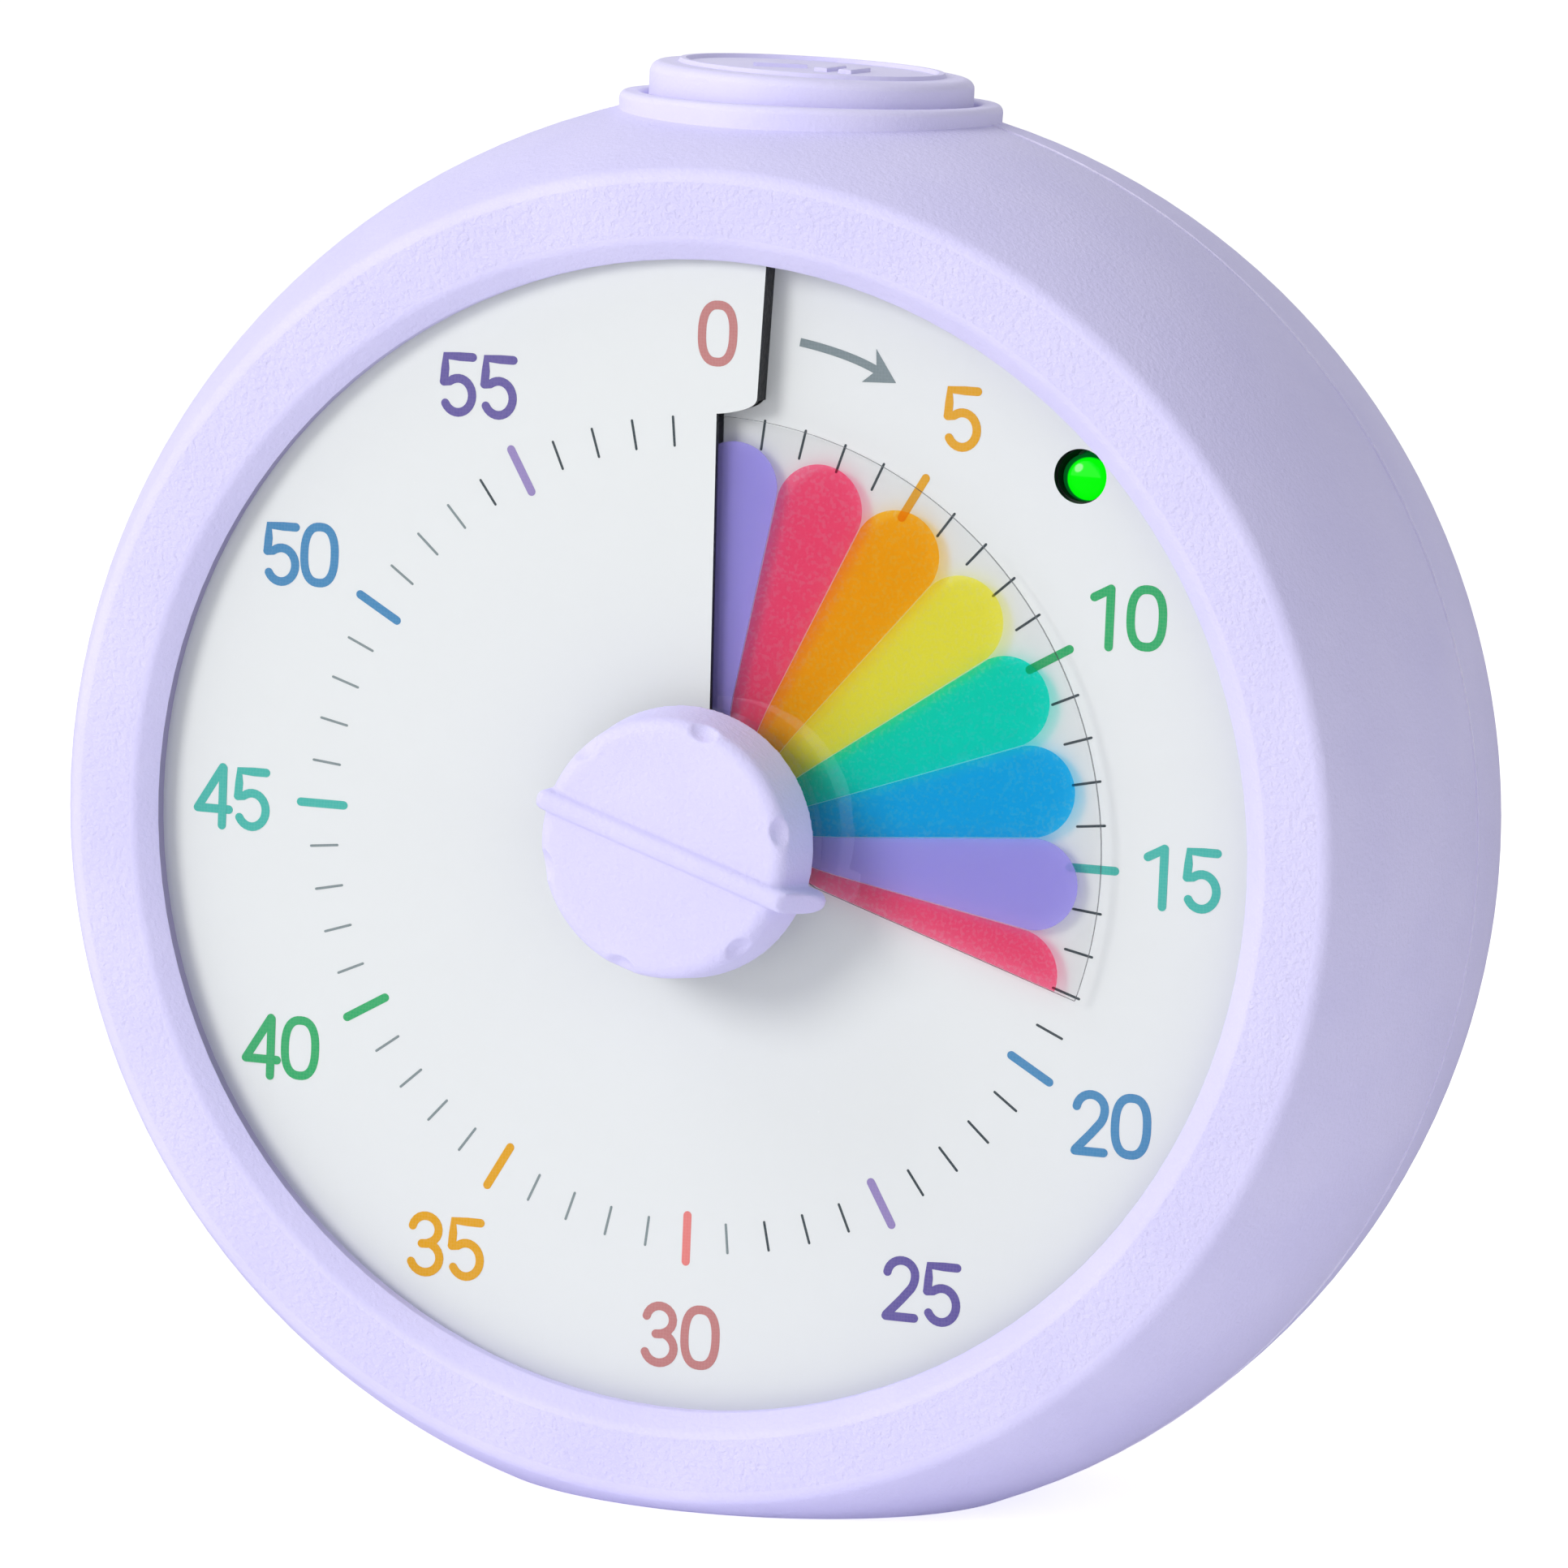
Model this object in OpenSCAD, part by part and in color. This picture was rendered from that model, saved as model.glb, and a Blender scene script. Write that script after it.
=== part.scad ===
// Visual countdown timer: a barrel-shaped case, a spiral dial with one slit, and a colour film that
// a centre knob winds out of the slit, so that the coloured sector shows the minutes that are left.

/* [Case] */
// Greatest diameter of the barrel, at the parting line
case_d = 108.4; // [106:0.2:114]
// Radius of the barrel's bulging side, seen in section
barrel_arc_r = 44; // [40:0.5:60]
// Depth from the parting line to the bezel's front face
front_depth = 20.9; // [20.5:0.1:24]
// Depth from the parting line to the back face
rear_depth = 17; // [16.5:0.1:19]
// Thickness of the moulded walls
wall = 2; // [1.6:0.1:2.4]
// Depth of the flat that the barrel stands on
base_cut = 3.9; // [2.7:0.1:4.4]
// Round between the bezel's face and the barrel
front_fillet = 1.4; // [1:0.1:2.5]
// Round between the back face and the barrel
rear_fillet = 3; // [1.5:0.1:3.5]
// Small bevel on both edges of the parting line
seam_bevel = 0.3; // [0.1:0.05:0.5]

/* [Bezel] */
// Width of the bezel, from the barrel's crown in to the opening over the dial
bezel_w = 11.7; // [11.2:0.1:12.7]
// Thickness of the lip at the opening's edge
lip_edge = 0.85; // [0.4:0.05:1]
// Bevel that leads from the bezel's face down to the lip
bezel_bevel = 1.5; // [1:0.05:2.2]
// Thickness of the ring behind the lip that holds the dial
seat_wall = 1.6; // [1.2:0.1:2]

/* [Dial] */
// Rise of the spiral dial over one turn
dial_rise = 2; // [1.6:0.1:2.4]
// Thickness of the dial's sheet
dial_thick = 0.5; // [0.4:0.05:0.6]
// Radius of the dial's centre hole
dial_hole_r = 8; // [7.8:0.1:9]
// Distance of the slit's inner edge from the twelve o'clock line, at the jog
slit_x = 0.2; // [0:0.02:0.6]
// Lean of the slit's inner edge, outwards towards the knob
slit_lean = 0.9; // [0:0.1:2]
// Distance of the slit's outer edge from the twelve o'clock line, at the rim
tab_x = 3.65; // [3:0.05:5]
// Lean of the slit's outer edge, inwards towards the jog
tab_lean = 1.8; // [0:0.1:3]
// Width of the ring under the numerals that backs the sheet
carrier_w = 10.7; // [9:0.1:11]
// Distance of the jog's middle inside that ring
jog_inset = 0.5; // [0.3:0.05:1]
// Height of the jog, from its sharp corner to the end of its round
jog_w = 1.5; // [1:0.1:2]
// Radius of the lamp hole in the dial
lamp_hole_r = 1.9; // [1.8:0.05:2.2]
// Distance of the lamp's centre inside the dial's rim
lamp_inset = 3.5; // [3:0.1:4.5]
// Clock angle of the lamp, from twelve o'clock
lamp_deg = 44.2; // [40:0.2:50]

/* [Colour film] */
// Distance of the film's rim inside the slit's jog
film_inset = 0.25; // [0.2:0.05:2]
// Thickness of the film
film_thick = 0.3; // [0.2:0.05:0.35]
// Space between the film and the dial in front of it
film_gap = 0.2; // [0.15:0.05:0.25]
// Part of a turn that the film covers
film_sweep_deg = 356; // [340:1:357]
// Minutes that the film shows
minutes_set = 18; // [0:1:60]

/* [Knob] */
// Radius of the knob at its skirt
knob_r = 10.05; // [9.6:0.05:11]
// Radius of the knob's side where the front round starts
knob_side_r = 9.6; // [9.2:0.05:9.8]
// Height of the knob from its skirt to its face
knob_h = 5; // [4.5:0.1:6]
// Round on the knob's front edge
knob_round = 1.1; // [0.6:0.1:1.4]
// Space between the bezel's face level and the knob's skirt
knob_lift = 0.15; // [0:0.05:1]
// Width of the pointer ridge
ridge_w = 1.6; // [1.2:0.1:2.4]
// Height of the pointer ridge over the face
ridge_h = 0.7; // [0.4:0.05:1]
// Overhang of the pointer's nose past the skirt
nose_reach = 1.75; // [0.8:0.05:2.2]
// Number of finger scallops round the rim
scallops = 6; // [4:1:8]
// Radius of a finger scallop
scallop_r = 1.6; // [1.2:0.1:2.2]
// Radius of the clear washer under the knob
washer_r = 9; // [8:0.1:9.4]
// Thickness of the clear washer
washer_thick = 0.5; // [0.3:0.05:0.6]
// Radius of the knob's hollow stem
stem_r = 2.95; // [2.6:0.05:3.2]
// Radius of the steel arbor
arbor_r = 1.5; // [1.2:0.05:1.7]

/* [Top button] */
// Radius of the button's cap
cap_r = 12.1; // [11:0.1:12.5]
// Height of the cap's top over the collar's rim
cap_rise = 2.6; // [2.2:0.1:3.6]
// Round on the cap's edge
cap_round = 0.9; // [0.5:0.1:1.2]
// Outer radius of the collar round the button
collar_r = 14.1; // [13.6:0.1:14.6]
// Height of the collar's rim over the barrel at its two sides
collar_rise = 1.05; // [0.8:0.05:1.6]
// Gap between the cap and the collar
cap_gap = 0.4; // [0.3:0.05:0.6]
// Distance that the button travels
press = 1.2; // [0.8:0.1:1.5]

/* [Drive] */
// Module of the gear teeth
gear_m = 0.4; // [0.36:0.02:0.42]
// Teeth on the arbor's gear
drive_teeth = 60; // [54:2:62]
// Teeth on the idler's wheel
wheel_teeth = 48; // [44:2:50]
// Teeth on both pinions
pinion_teeth = 12; // [12:1:14]
// Face width of the gears
gear_w = 1.8; // [1.4:0.1:2]
// Play between the teeth
backlash = 0.1; // [0.06:0.02:0.14]
// Radius of the geared motor's can
motor_r = 6; // [5:0.1:7]
// Length of the geared motor's can
motor_h = 9; // [7:0.5:10]

/* [Power and sound] */
// Diameter of a battery cell
cell_d = 10.5; // [10.2:0.1:10.5]
// Length of a battery cell with its tip
cell_l = 44.5; // [43.5:0.1:44.5]
// Height of the battery bay's centre over the base
bay_lift = 22.3; // [21.9:0.1:22.9]
// Length of a contact spring with its cell in place
spring_l = 5.6; // [5.2:0.1:6.4]
// Radius of the buzzer
buzzer_r = 8; // [6.5:0.1:9]
// Travel of the sound switch
slider_travel = 4; // [2:0.5:5]

/* [Assembly] */
// Clearance between parts that move past each other
run_gap = 0.3; // [0.2:0.05:0.4]
// Radial clearance of a shaft in its bearing
shaft_gap = 0.05; // [0.03:0.01:0.08]
// Clearance round parts that are only located
fit_gap = 0.1; // [0.05:0.01:0.2]
// Thickness of the chassis plate
chassis_thick = 1.5; // [1.2:0.1:2]
// Thickness of the circuit board
board_thick = 1.6; // [1:0.1:1.8]
// Distance of the case screws inside the barrel's crown
screw_inset = 13.3; // [12.8:0.1:14.8]
// Angle of the case screws above and below the level through the axis
screw_deg = 32.5; // [30:0.5:34]
// Radius of the posts that take the case screws
post_r = 3; // [2.6:0.1:3.4]

/* [Hidden] */
$fn = 96;
big = 200; // longer than the object
eps = 0.01;

// Case, in the dial's frame: z is 0 at the parting line and grows towards the viewer
crown_r = case_d / 2;
axis_h = crown_r - base_cut;
arc_x = crown_r - barrel_arc_r;
lip_r = crown_r - bezel_w;
lip_z = front_depth - bezel_bevel;
lip_back_z = lip_z - lip_edge;
bezel_in_r = lip_r + bezel_bevel;
seat_step = 0.9;
seat_r = lip_r + seat_step;
screw_lug = 0.6;
tongue_h = 2;
tongue_w = 1.1;

// Dial and film, from the lip backwards
lip_clear = 0.25;
dial_z = lip_back_z - lip_clear - dial_rise;
dial_r = seat_r - fit_gap * 2;
carrier_r = dial_r - carrier_w;
jog_r = carrier_r - jog_inset;
jog_bend = 2.2;
jog_climb = 0.75;
lamp_r = dial_r - lamp_inset;
dial_steps = 72;
dial_sweep_deg = 359.9;
film_hole_r = 5;
film_r = jog_r - jog_w / 2 - film_inset;
film_lead = 6 * minutes_set;
film_tail = film_lead - film_sweep_deg;
film_front = film_gap + film_thick;
hub_flange_gap = 0.7;
hub_flange_r = dial_hole_r - hub_flange_gap;
hub_flange_thick = 0.8;
film_back_limit = dial_rise + hub_flange_thick - film_gap;
film_back_gap = 0.9;
chassis_z = dial_z - film_back_limit - film_back_gap;
chassis_back_z = chassis_z - chassis_thick;

// Knob and arbor
washer_z = dial_z + dial_rise + film_front + run_gap;
boss_r = 4.5;
boss_z = washer_z + washer_thick;
skirt_z = front_depth + knob_lift;
face_z = skirt_z + knob_h;
ridge_z = face_z + ridge_h;
knob_wall = 1.5;
stem_end_z = chassis_z + run_gap * 2.5;
arbor_tip_z = face_z - knob_wall - run_gap;
tail_out = 0.6;
crest_out = 0.6;
blunt = 0.4;
nose_foot = 0.3;
nose_edge = 0.6;
arch_share = 0.7;
bush_flange = run_gap * 1.4;
bush_r = 3;
bush_step = 1;

// Gear train, behind the chassis
drive_pitch_r = gear_m * drive_teeth / 2;
wheel_pitch_r = gear_m * wheel_teeth / 2;
pinion_pitch_r = gear_m * pinion_teeth / 2;
pressure_deg = 25;
idler_x = drive_pitch_r + pinion_pitch_r;
motor_y = wheel_pitch_r + pinion_pitch_r;
drive_z = chassis_back_z - run_gap;
wheel_z = drive_z - gear_w - run_gap;
cover_thick = 1.2;
cover_wall = 1.2;
clip_thick = 0.6;
clutch_h = 0.9;
cover_z = wheel_z - gear_w - run_gap;
cover_back_z = cover_z - cover_thick;
arbor_end_z = cover_back_z + run_gap;
cover_drive_r = drive_pitch_r + 3;
cover_wheel_r = wheel_pitch_r + 3;
motor_room = 1;
pin_r = 0.8;
motor_shaft_r = 1;
shaft_sunk = 4;
cover_screw_in = 3.78;
tail_wall = 1.4;
gear_screw_spots = [
    [-cover_drive_r - post_r / 2, 0],
    [idler_x, -cover_wheel_r - post_r / 2],
    [idler_x + cover_wheel_r - cover_screw_in, motor_y + post_r]
];

// Button, in a frame whose z is the height over the dial's axis
cap_wall = 1.8;
collar_in_r = cap_r + cap_gap;
collar_seat_h = sqrt(crown_r * crown_r - collar_r * collar_r);
collar_top_h = collar_seat_h + collar_rise;
cap_top_h = collar_top_h + cap_rise;
collar_skirt = 5.85;
collar_end_h = collar_seat_h - collar_skirt;
collar_flange_w = 1.5;
cap_flange_w = 1.2;
cap_flange_h = 1.2;
cap_flange_top = collar_end_h - run_gap;
plunger_r = 1.6;
plunger_top = cap_flange_top - cap_flange_h - press / 2;
plunger_h = 4;
plunger_stand = 1.6;
switch_top = plunger_top - press - plunger_stand;
switch_h = 3.4;
switch_w = 6;
switch_d = 7;

// Circuit board, hanging behind the upper half of the chassis
lamp_pos = [lamp_r * sin(lamp_deg), lamp_r * cos(lamp_deg)];
board_z = 5;
board_under = 3.5;
board_over = 0.6;
board_inset = 23.2;
board_edge_gap = 3;
post_inset = [9, 4.2];
chip_lift = 6.2;
board_high = switch_top + board_over;
board_low = lamp_pos[1] - board_under;
board_half_w = crown_r - board_inset;
board_post = [board_half_w - post_inset[0], board_high - post_inset[1]];
chip_pos = [-board_half_w / 3, board_low + chip_lift];
lamp_dome_r = 1.6;
lamp_sunk = 0.1;
lamp_tip_z = dial_z - lamp_sunk;
lamp_rim_r = 1.9;
lamp_rim_h = 0.9;
lead_r = 0.25;
lead_x = 0.635;
lead_past = 0.8;

// Back of the case
back_in_z = -rear_depth + wall;
bay_drop = axis_h - bay_lift;
screw_x = (crown_r - screw_inset) * cos(screw_deg);
screw_y = (crown_r - screw_inset) * sin(screw_deg);
bay_wall = 1.2;
contact_thick = 0.4;
bay_half_w = (cell_l + spring_l + 2 * contact_thick + 3 * fit_gap) / 2;
cell_gap = 0.7;
bay_room = 0.6;
bay_floor_room = 1;
bay_half_h = cell_d + cell_gap / 2 + bay_room;
bay_floor_z = back_in_z + cell_d + bay_floor_room;
cell_z = bay_floor_z - run_gap - cell_d / 2;
cell_rise = (cell_d + cell_gap) / 2;
door_rest = 1.2;
door_half_w = bay_half_w - door_rest;
door_thick = 1.7;
hinge_r = 1.25;
hinge_pin_r = 0.6;
hinge_pin_l = 1.4;
hinge_y = -bay_drop - bay_half_h + run_gap + hinge_r;
hinge_z = -rear_depth + hinge_r;
door_top = -bay_drop + bay_half_h - run_gap;
cell_tip_x = bay_half_w - contact_thick - fit_gap;
cell_foot_x = cell_tip_x - cell_l;
spring_wire = 0.35;
spring_foot_r = 3.57;
spring_tip_r = 2.2;
spring_turns = 4;
buzzer_pos = [-15, 20];
buzzer_h = 6;
slider_pos = [16, 20];
slider_w = 3;
slider_h = 2.2;
thumb_recess = 1;
thumb_side = 1.5;
shank_depth = 2.3;
grip_depth = 0.25;
grip_half_w = 0.2;
slide_end = 2.5;
slide_side = 1.8;
grille_r = 0.8;
grille_step = 2.6;
notch_r = 4;
notch_lift = 1.5;
notch_depth = 1;
switch_case_h = 5;
rib_w = 1;
head_r = 2.2;
head_h = 1.4;
shank_r = 1.1;
small_head_r = 1.9;
small_head_h = 1.1;
small_shank_r = 0.9;
head_gap = 0.4;
thread_l = 7;
small_thread_l = 4;
slot_share = 0.6;
slot_w_share = 0.12;

// The knob's tip and the back face lie at equal distances from the origin
origin_y = (ridge_z - rear_depth) / 2;

lavender = "#CFC8F5";
off_white = "#E9ECF0";
black_plastic = "#1D1E22";

function clock_pt(r, a, z) = [r * sin(a), r * cos(a), z];
function ramp_z(a) = dial_z + dial_rise * a / 360;
function arc_pts(c, r, a0, a1, n, first = 0) = [for (i = [first:n])
    let (a = a0 + (a1 - a0) * i / n) c + r * [cos(a), sin(a)]];
function barrel_r(z, inset = 0) = arc_x + sqrt(pow(barrel_arc_r - inset, 2) - z * z);
function fillet_x(z, f) = arc_x + sqrt(pow(barrel_arc_r - f, 2) - pow(z - f, 2));
function fillet_deg(z, f) = atan2(z - f, fillet_x(z, f) - arc_x);

// Section of the barrel from the parting line out to depth z, rounded by f at its end
function barrel_pts(z, f) = concat(
    [[0, 0], [crown_r - seam_bevel, 0]],
    arc_pts([arc_x, 0], barrel_arc_r, seam_bevel / barrel_arc_r * 60, fillet_deg(z, f), 24),
    arc_pts([fillet_x(z, f), z - f], f, fillet_deg(z, f), 90, 10, 1),
    [[0, z]]
);

// Section of the hollow inside the barrel, from below the parting line out to depth z
function hollow_pts(z) = concat(
    [[0, -eps]],
    [for (i = [0:20]) [barrel_r(z * i / 20, wall), i == 0 ? -eps : z * i / 20]],
    [[0, z]]
);

// The dial's slit runs up from the knob, jogs outwards inside the numerals and runs on to the rim.
// The jog starts at a sharp corner, climbs slowly and ends in a wide round.
function slit_in(r) = slit_x + (jog_r - r) * tan(slit_lean);
function slit_out(r) = tab_x - (dial_r - r) * tan(tab_lean);
function jog_share(s) = pow(1 - pow(1 - s, jog_bend), jog_climb);
function slit_side(r) =
    let (s = min(1, max(0, (r - jog_r) / jog_w + 0.5)))
    slit_in(r) + (slit_out(r) - slit_in(r)) * jog_share(s);
function slit_deg(r) = asin(slit_side(r) / r);

// Places children on the dial's axis: x to the right, y up, z towards the viewer
module on_axis() {
    translate([0, origin_y, axis_h]) rotate([90, 0, 0]) children();
}

// Places children over the middle of the parting line: z is the height over the dial's axis
module on_top() {
    translate([0, origin_y, axis_h]) children();
}

module rod(r, z0, z1) {
    translate([0, 0, min(z0, z1)]) cylinder(r = r, h = abs(z1 - z0));
}

module block(x0, x1, y0, y1, z0, z1) {
    translate([x0, y0, z0]) cube([x1 - x0, y1 - y0, z1 - z0]);
}

// Everything above a level, in the dial's frame
module above(y) {
    block(-big, big, y, big, -big, big);
}

// A sheet that climbs the dial's ramp, with the ring radii and the clock angle where each ring starts
module ramp_sheet(radii, starts, sweep, offset, thick, steps, flat = undef) {
    rings = len(radii);
    front = [for (i = [0:steps]) for (j = [0:rings - 1])
        let (a = starts[j] + sweep * i / steps) clock_pt(radii[j], a, ramp_z(a) + offset)];
    back = [for (p = front) [p[0], p[1], is_undef(flat) ? p[2] - thick : flat]];
    n = len(front);
    cells = [for (i = [0:steps - 1]) for (j = [0:rings - 2]) let (a = i * rings + j)
        [a, a + 1, a + rings + 1, a + rings]];
    inner = [for (i = [0:steps - 1]) let (a = i * rings) [a, a + rings, a + rings + n, a + n]];
    outer = [for (i = [0:steps - 1]) let (a = i * rings + rings - 1) [a + rings, a, a + n, a + rings + n]];
    first = [for (j = [0:rings - 2]) [j + 1, j, j + n, j + 1 + n]];
    last = [for (j = [0:rings - 2]) let (a = steps * rings + j) [a, a + 1, a + 1 + n, a + n]];
    under = [for (c = cells) [c[0] + n, c[3] + n, c[2] + n, c[1] + n]];
    quads = concat(cells, under, inner, outer, first, last);
    polyhedron(
        points = concat(front, back),
        faces = [for (q = quads) for (t = [[q[0], q[1], q[2]], [q[0], q[2], q[3]]]) t]
    );
}

// A spur gear's outline with true involute flanks, a tooth centred on the x axis
module gear_outline(teeth) {
    pitch = gear_m * teeth / 2;
    base = pitch * cos(pressure_deg);
    root = pitch - 1.25 * gear_m;
    tip = pitch + gear_m;
    half = 90 / teeth - backlash / 2 / pitch * 180 / PI;
    inv_pitch = tan(pressure_deg) * 180 / PI - pressure_deg;
    flank = [for (i = [0:3]) let (r = max(base, root) + (tip - max(base, root)) * i / 3) r];
    sides = [for (r = flank) let (p = acos(min(1, base / r))) half + inv_pitch - (tan(p) * 180 / PI - p)];
    step = 360 / teeth;
    points = [for (t = [0:teeth - 1]) each concat(
        [root * [cos(t * step - sides[0]), sin(t * step - sides[0])]],
        [for (i = [0:3]) flank[i] * [cos(t * step - sides[i]), sin(t * step - sides[i])]],
        [for (i = [3:-1:0]) flank[i] * [cos(t * step + sides[i]), sin(t * step + sides[i])]],
        [root * [cos(t * step + sides[0]), sin(t * step + sides[0])]]
    )];
    polygon(points);
}

module gear(teeth, turn, z_top) {
    translate([0, 0, z_top - gear_w]) linear_extrude(gear_w) rotate(turn) gear_outline(teeth);
}

// A pan-head screw with its head's seat at z and its shank running towards +z
module screw(hr, hh, sr, length) {
    difference() {
        rod(hr, -hh, 0);
        for (turn = [0, 90]) rotate(turn) block(
            -hr * slot_share, hr * slot_share, -hr * slot_w_share, hr * slot_w_share, -hh - eps, -hh / 2
        );
    }
    rod(sr, -eps, length);
}

module at_case_screws() {
    for (x = [-screw_x, screw_x]) for (y = [-screw_y, screw_y]) translate([x, y, 0]) children();
}

module at_chassis_screws() {
    for (a = [45:90:315]) translate(clock_pt(seat_r + seat_wall + small_head_r, a, 0)) children();
}

module at_board_screws() {
    for (side = [-1, 1]) translate([side * board_post[0], board_post[1], 0]) children();
}

module at_gear_screws() {
    for (spot = gear_screw_spots) translate([spot[0], spot[1], 0]) children();
}

// The hole in the case's crown that takes the collar
module collar_hole() {
    on_top() rotate(45) rod(collar_r + fit_gap, collar_end_h - wall, cap_top_h + wall);
}

module front_case() {
    color(lavender) difference() {
        union() {
            on_axis() difference() {
                intersection() {
                    rotate_extrude($fn = 180) polygon(barrel_pts(front_depth, front_fillet));
                    above(-axis_h);
                }
                intersection() {
                    rotate_extrude($fn = 180) polygon(hollow_pts(lip_back_z));
                    above(-axis_h + wall);
                }
                rotate_extrude($fn = 180) polygon([
                    [0, lip_back_z - wall], [lip_r, lip_back_z - wall], [lip_r, lip_z],
                    [bezel_in_r + wall, front_depth + wall], [0, front_depth + wall]
                ]);
            }
            on_axis() {
                difference() {
                    rod(seat_r + seat_wall, chassis_z, lip_back_z + lip_edge / 2);
                    rod(seat_r, chassis_z - eps, lip_back_z);
                }
                at_chassis_screws() rod(small_head_r + screw_lug, chassis_z, lip_back_z + lip_edge / 2);
                locating_tongue();
            }
        }
        on_axis() at_chassis_screws() rod(small_shank_r, chassis_z - eps, lip_back_z - head_gap);
        on_axis() rod(lip_r, chassis_z - eps, front_depth);
        collar_hole();
    }
}

// Band that stands out of the front shell's edge and centres the rear shell
module locating_tongue() {
    tongue_r = barrel_r(0, wall) - fit_gap;
    root_r = tongue_r + 2 * fit_gap;
    intersection() {
        rotate_extrude($fn = 180) polygon([
            [tongue_r - tongue_w, -tongue_h], [tongue_r, -tongue_h], [tongue_r, 0], [root_r, 0],
            [root_r, tongue_h], [tongue_r - tongue_w, tongue_h + tongue_w]
        ]);
        above(-axis_h + wall + fit_gap);
    }
}

module rear_case() {
    color(lavender) difference() {
        union() {
            on_axis() difference() {
                intersection() {
                    mirror([0, 0, 1]) rotate_extrude($fn = 180)
                        polygon(barrel_pts(rear_depth, rear_fillet));
                    above(-axis_h);
                }
                intersection() {
                    mirror([0, 0, 1]) rotate_extrude($fn = 180) polygon(hollow_pts(-back_in_z));
                    above(-axis_h + wall);
                }
            }
            on_axis() {
                at_case_screws() rod(post_r, back_in_z - eps, 0);
                bay_box(bay_wall, bay_floor_z + bay_wall);
                translate([buzzer_pos[0], buzzer_pos[1], 0]) difference() {
                    rod(buzzer_r + fit_gap + rib_w, back_in_z - eps, back_in_z + buzzer_h / 2);
                    rod(buzzer_r + fit_gap, back_in_z, back_in_z + buzzer_h);
                }
                translate([slider_pos[0], slider_pos[1], 0]) difference() {
                    slide_box(fit_gap + rib_w, back_in_z - eps, back_in_z + switch_case_h / 2);
                    slide_box(fit_gap, back_in_z, back_in_z + switch_case_h);
                }
            }
        }
        on_axis() {
            bay_box(0, bay_floor_z);
            door_opening();
            door_hinge_holes();
            at_case_screws() {
                rod(head_r + head_gap, -rear_depth - eps, -rear_depth + wall + head_h);
                rod(shank_r + fit_gap, -rear_depth, eps);
            }
            grille_holes();
            slider_slot();
        }
        collar_hole();
    }
}

// The battery bay as a box that stands on the back wall, grown outwards
module bay_box(grow, z_top) {
    block(
        -bay_half_w - grow, bay_half_w + grow, -bay_drop - bay_half_h - grow,
        -bay_drop + bay_half_h + grow, back_in_z - eps, z_top
    );
}

module door_opening() {
    block(
        -door_half_w - run_gap, door_half_w + run_gap, -bay_drop - bay_half_h,
        -bay_drop + bay_half_h, -rear_depth - eps, back_in_z + eps
    );
    // Thumb notch over the door's latch
    translate([0, door_top + notch_lift, 0]) rod(notch_r, -rear_depth - eps, -rear_depth + notch_depth);
}

// Places children on the door's hinge line, z along it to the right
module on_hinge() {
    translate([0, hinge_y, hinge_z]) rotate([0, 90, 0]) children();
}

module door_hinge_holes() {
    reach = door_half_w + hinge_pin_l + run_gap;
    on_hinge() rod(hinge_pin_r + shaft_gap, -reach, reach);
}

module grille_holes() {
    translate([buzzer_pos[0], buzzer_pos[1], 0]) {
        rod(grille_r, -rear_depth - eps, back_in_z + eps);
        for (ring = [1, 2]) for (i = [0:ring * 6 - 1]) rotate(i * 60 / ring)
            translate([ring * grille_step, 0, 0]) rod(grille_r, -rear_depth - eps, back_in_z + eps);
    }
}

module slide_box(grow, z0, z1) {
    half_w = slider_w / 2 + slider_travel / 2 + slide_end + grow;
    half_h = slider_h / 2 + slide_side + grow;
    block(-half_w, half_w, -half_h, half_h, z0, z1);
}

module slider_slot() {
    half = (slider_travel + slider_w) / 2 + run_gap;
    translate([slider_pos[0], slider_pos[1], 0]) {
        block(-half, half, -slider_h / 2 - run_gap, slider_h / 2 + run_gap, -rear_depth, back_in_z + eps);
        block(
            -half - thumb_side, half + thumb_side, -slider_h - run_gap, slider_h + run_gap,
            -rear_depth - eps, -rear_depth + thumb_recess
        );
    }
}

// Ring round the button, with a foot on each side that stops it under the case's crown
module button_collar() {
    rim = 0.5;
    foot_h = 1.4;
    foot_half_w = 7;
    color(lavender) on_top() {
        rotate_extrude() polygon(concat(
            [[collar_in_r, collar_end_h], [collar_r, collar_end_h]],
            arc_pts([collar_r - rim, collar_top_h - rim], rim, 0, 90, 6),
            arc_pts([collar_in_r + rim, collar_top_h - rim], rim, 90, 180, 6)
        ));
        intersection() {
            difference() {
                rod(collar_r + collar_flange_w, collar_end_h, collar_end_h + foot_h);
                rod((collar_r + collar_in_r) / 2, collar_end_h - eps, collar_end_h + foot_h + eps);
            }
            block(-big, big, -foot_half_w, foot_half_w, 0, big);
        }
    }
}

// Hollow cap with a post onto the switch and a lug on each side that hooks under the collar
module top_button() {
    foot = cap_flange_top - cap_flange_h;
    in_r = cap_r - cap_wall;
    lug_half_w = 5;
    post_end_r = plunger_r + 0.9;
    color(lavender) on_top() {
        rotate_extrude() polygon(concat(
            [[0, plunger_top], [post_end_r, plunger_top], [post_end_r, cap_top_h - cap_wall]],
            [[in_r, cap_top_h - cap_wall], [in_r, foot], [cap_r, foot]],
            arc_pts([cap_r - cap_round, cap_top_h - cap_round], cap_round, 0, 90, 8),
            [[0, cap_top_h]]
        ));
        intersection() {
            difference() {
                rod(cap_r + cap_flange_w, foot, cap_flange_top);
                rod(cap_r - cap_wall / 2, foot - eps, cap_flange_top + eps);
            }
            block(-big, big, -lug_half_w, lug_half_w, 0, big);
        }
    }
}

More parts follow.
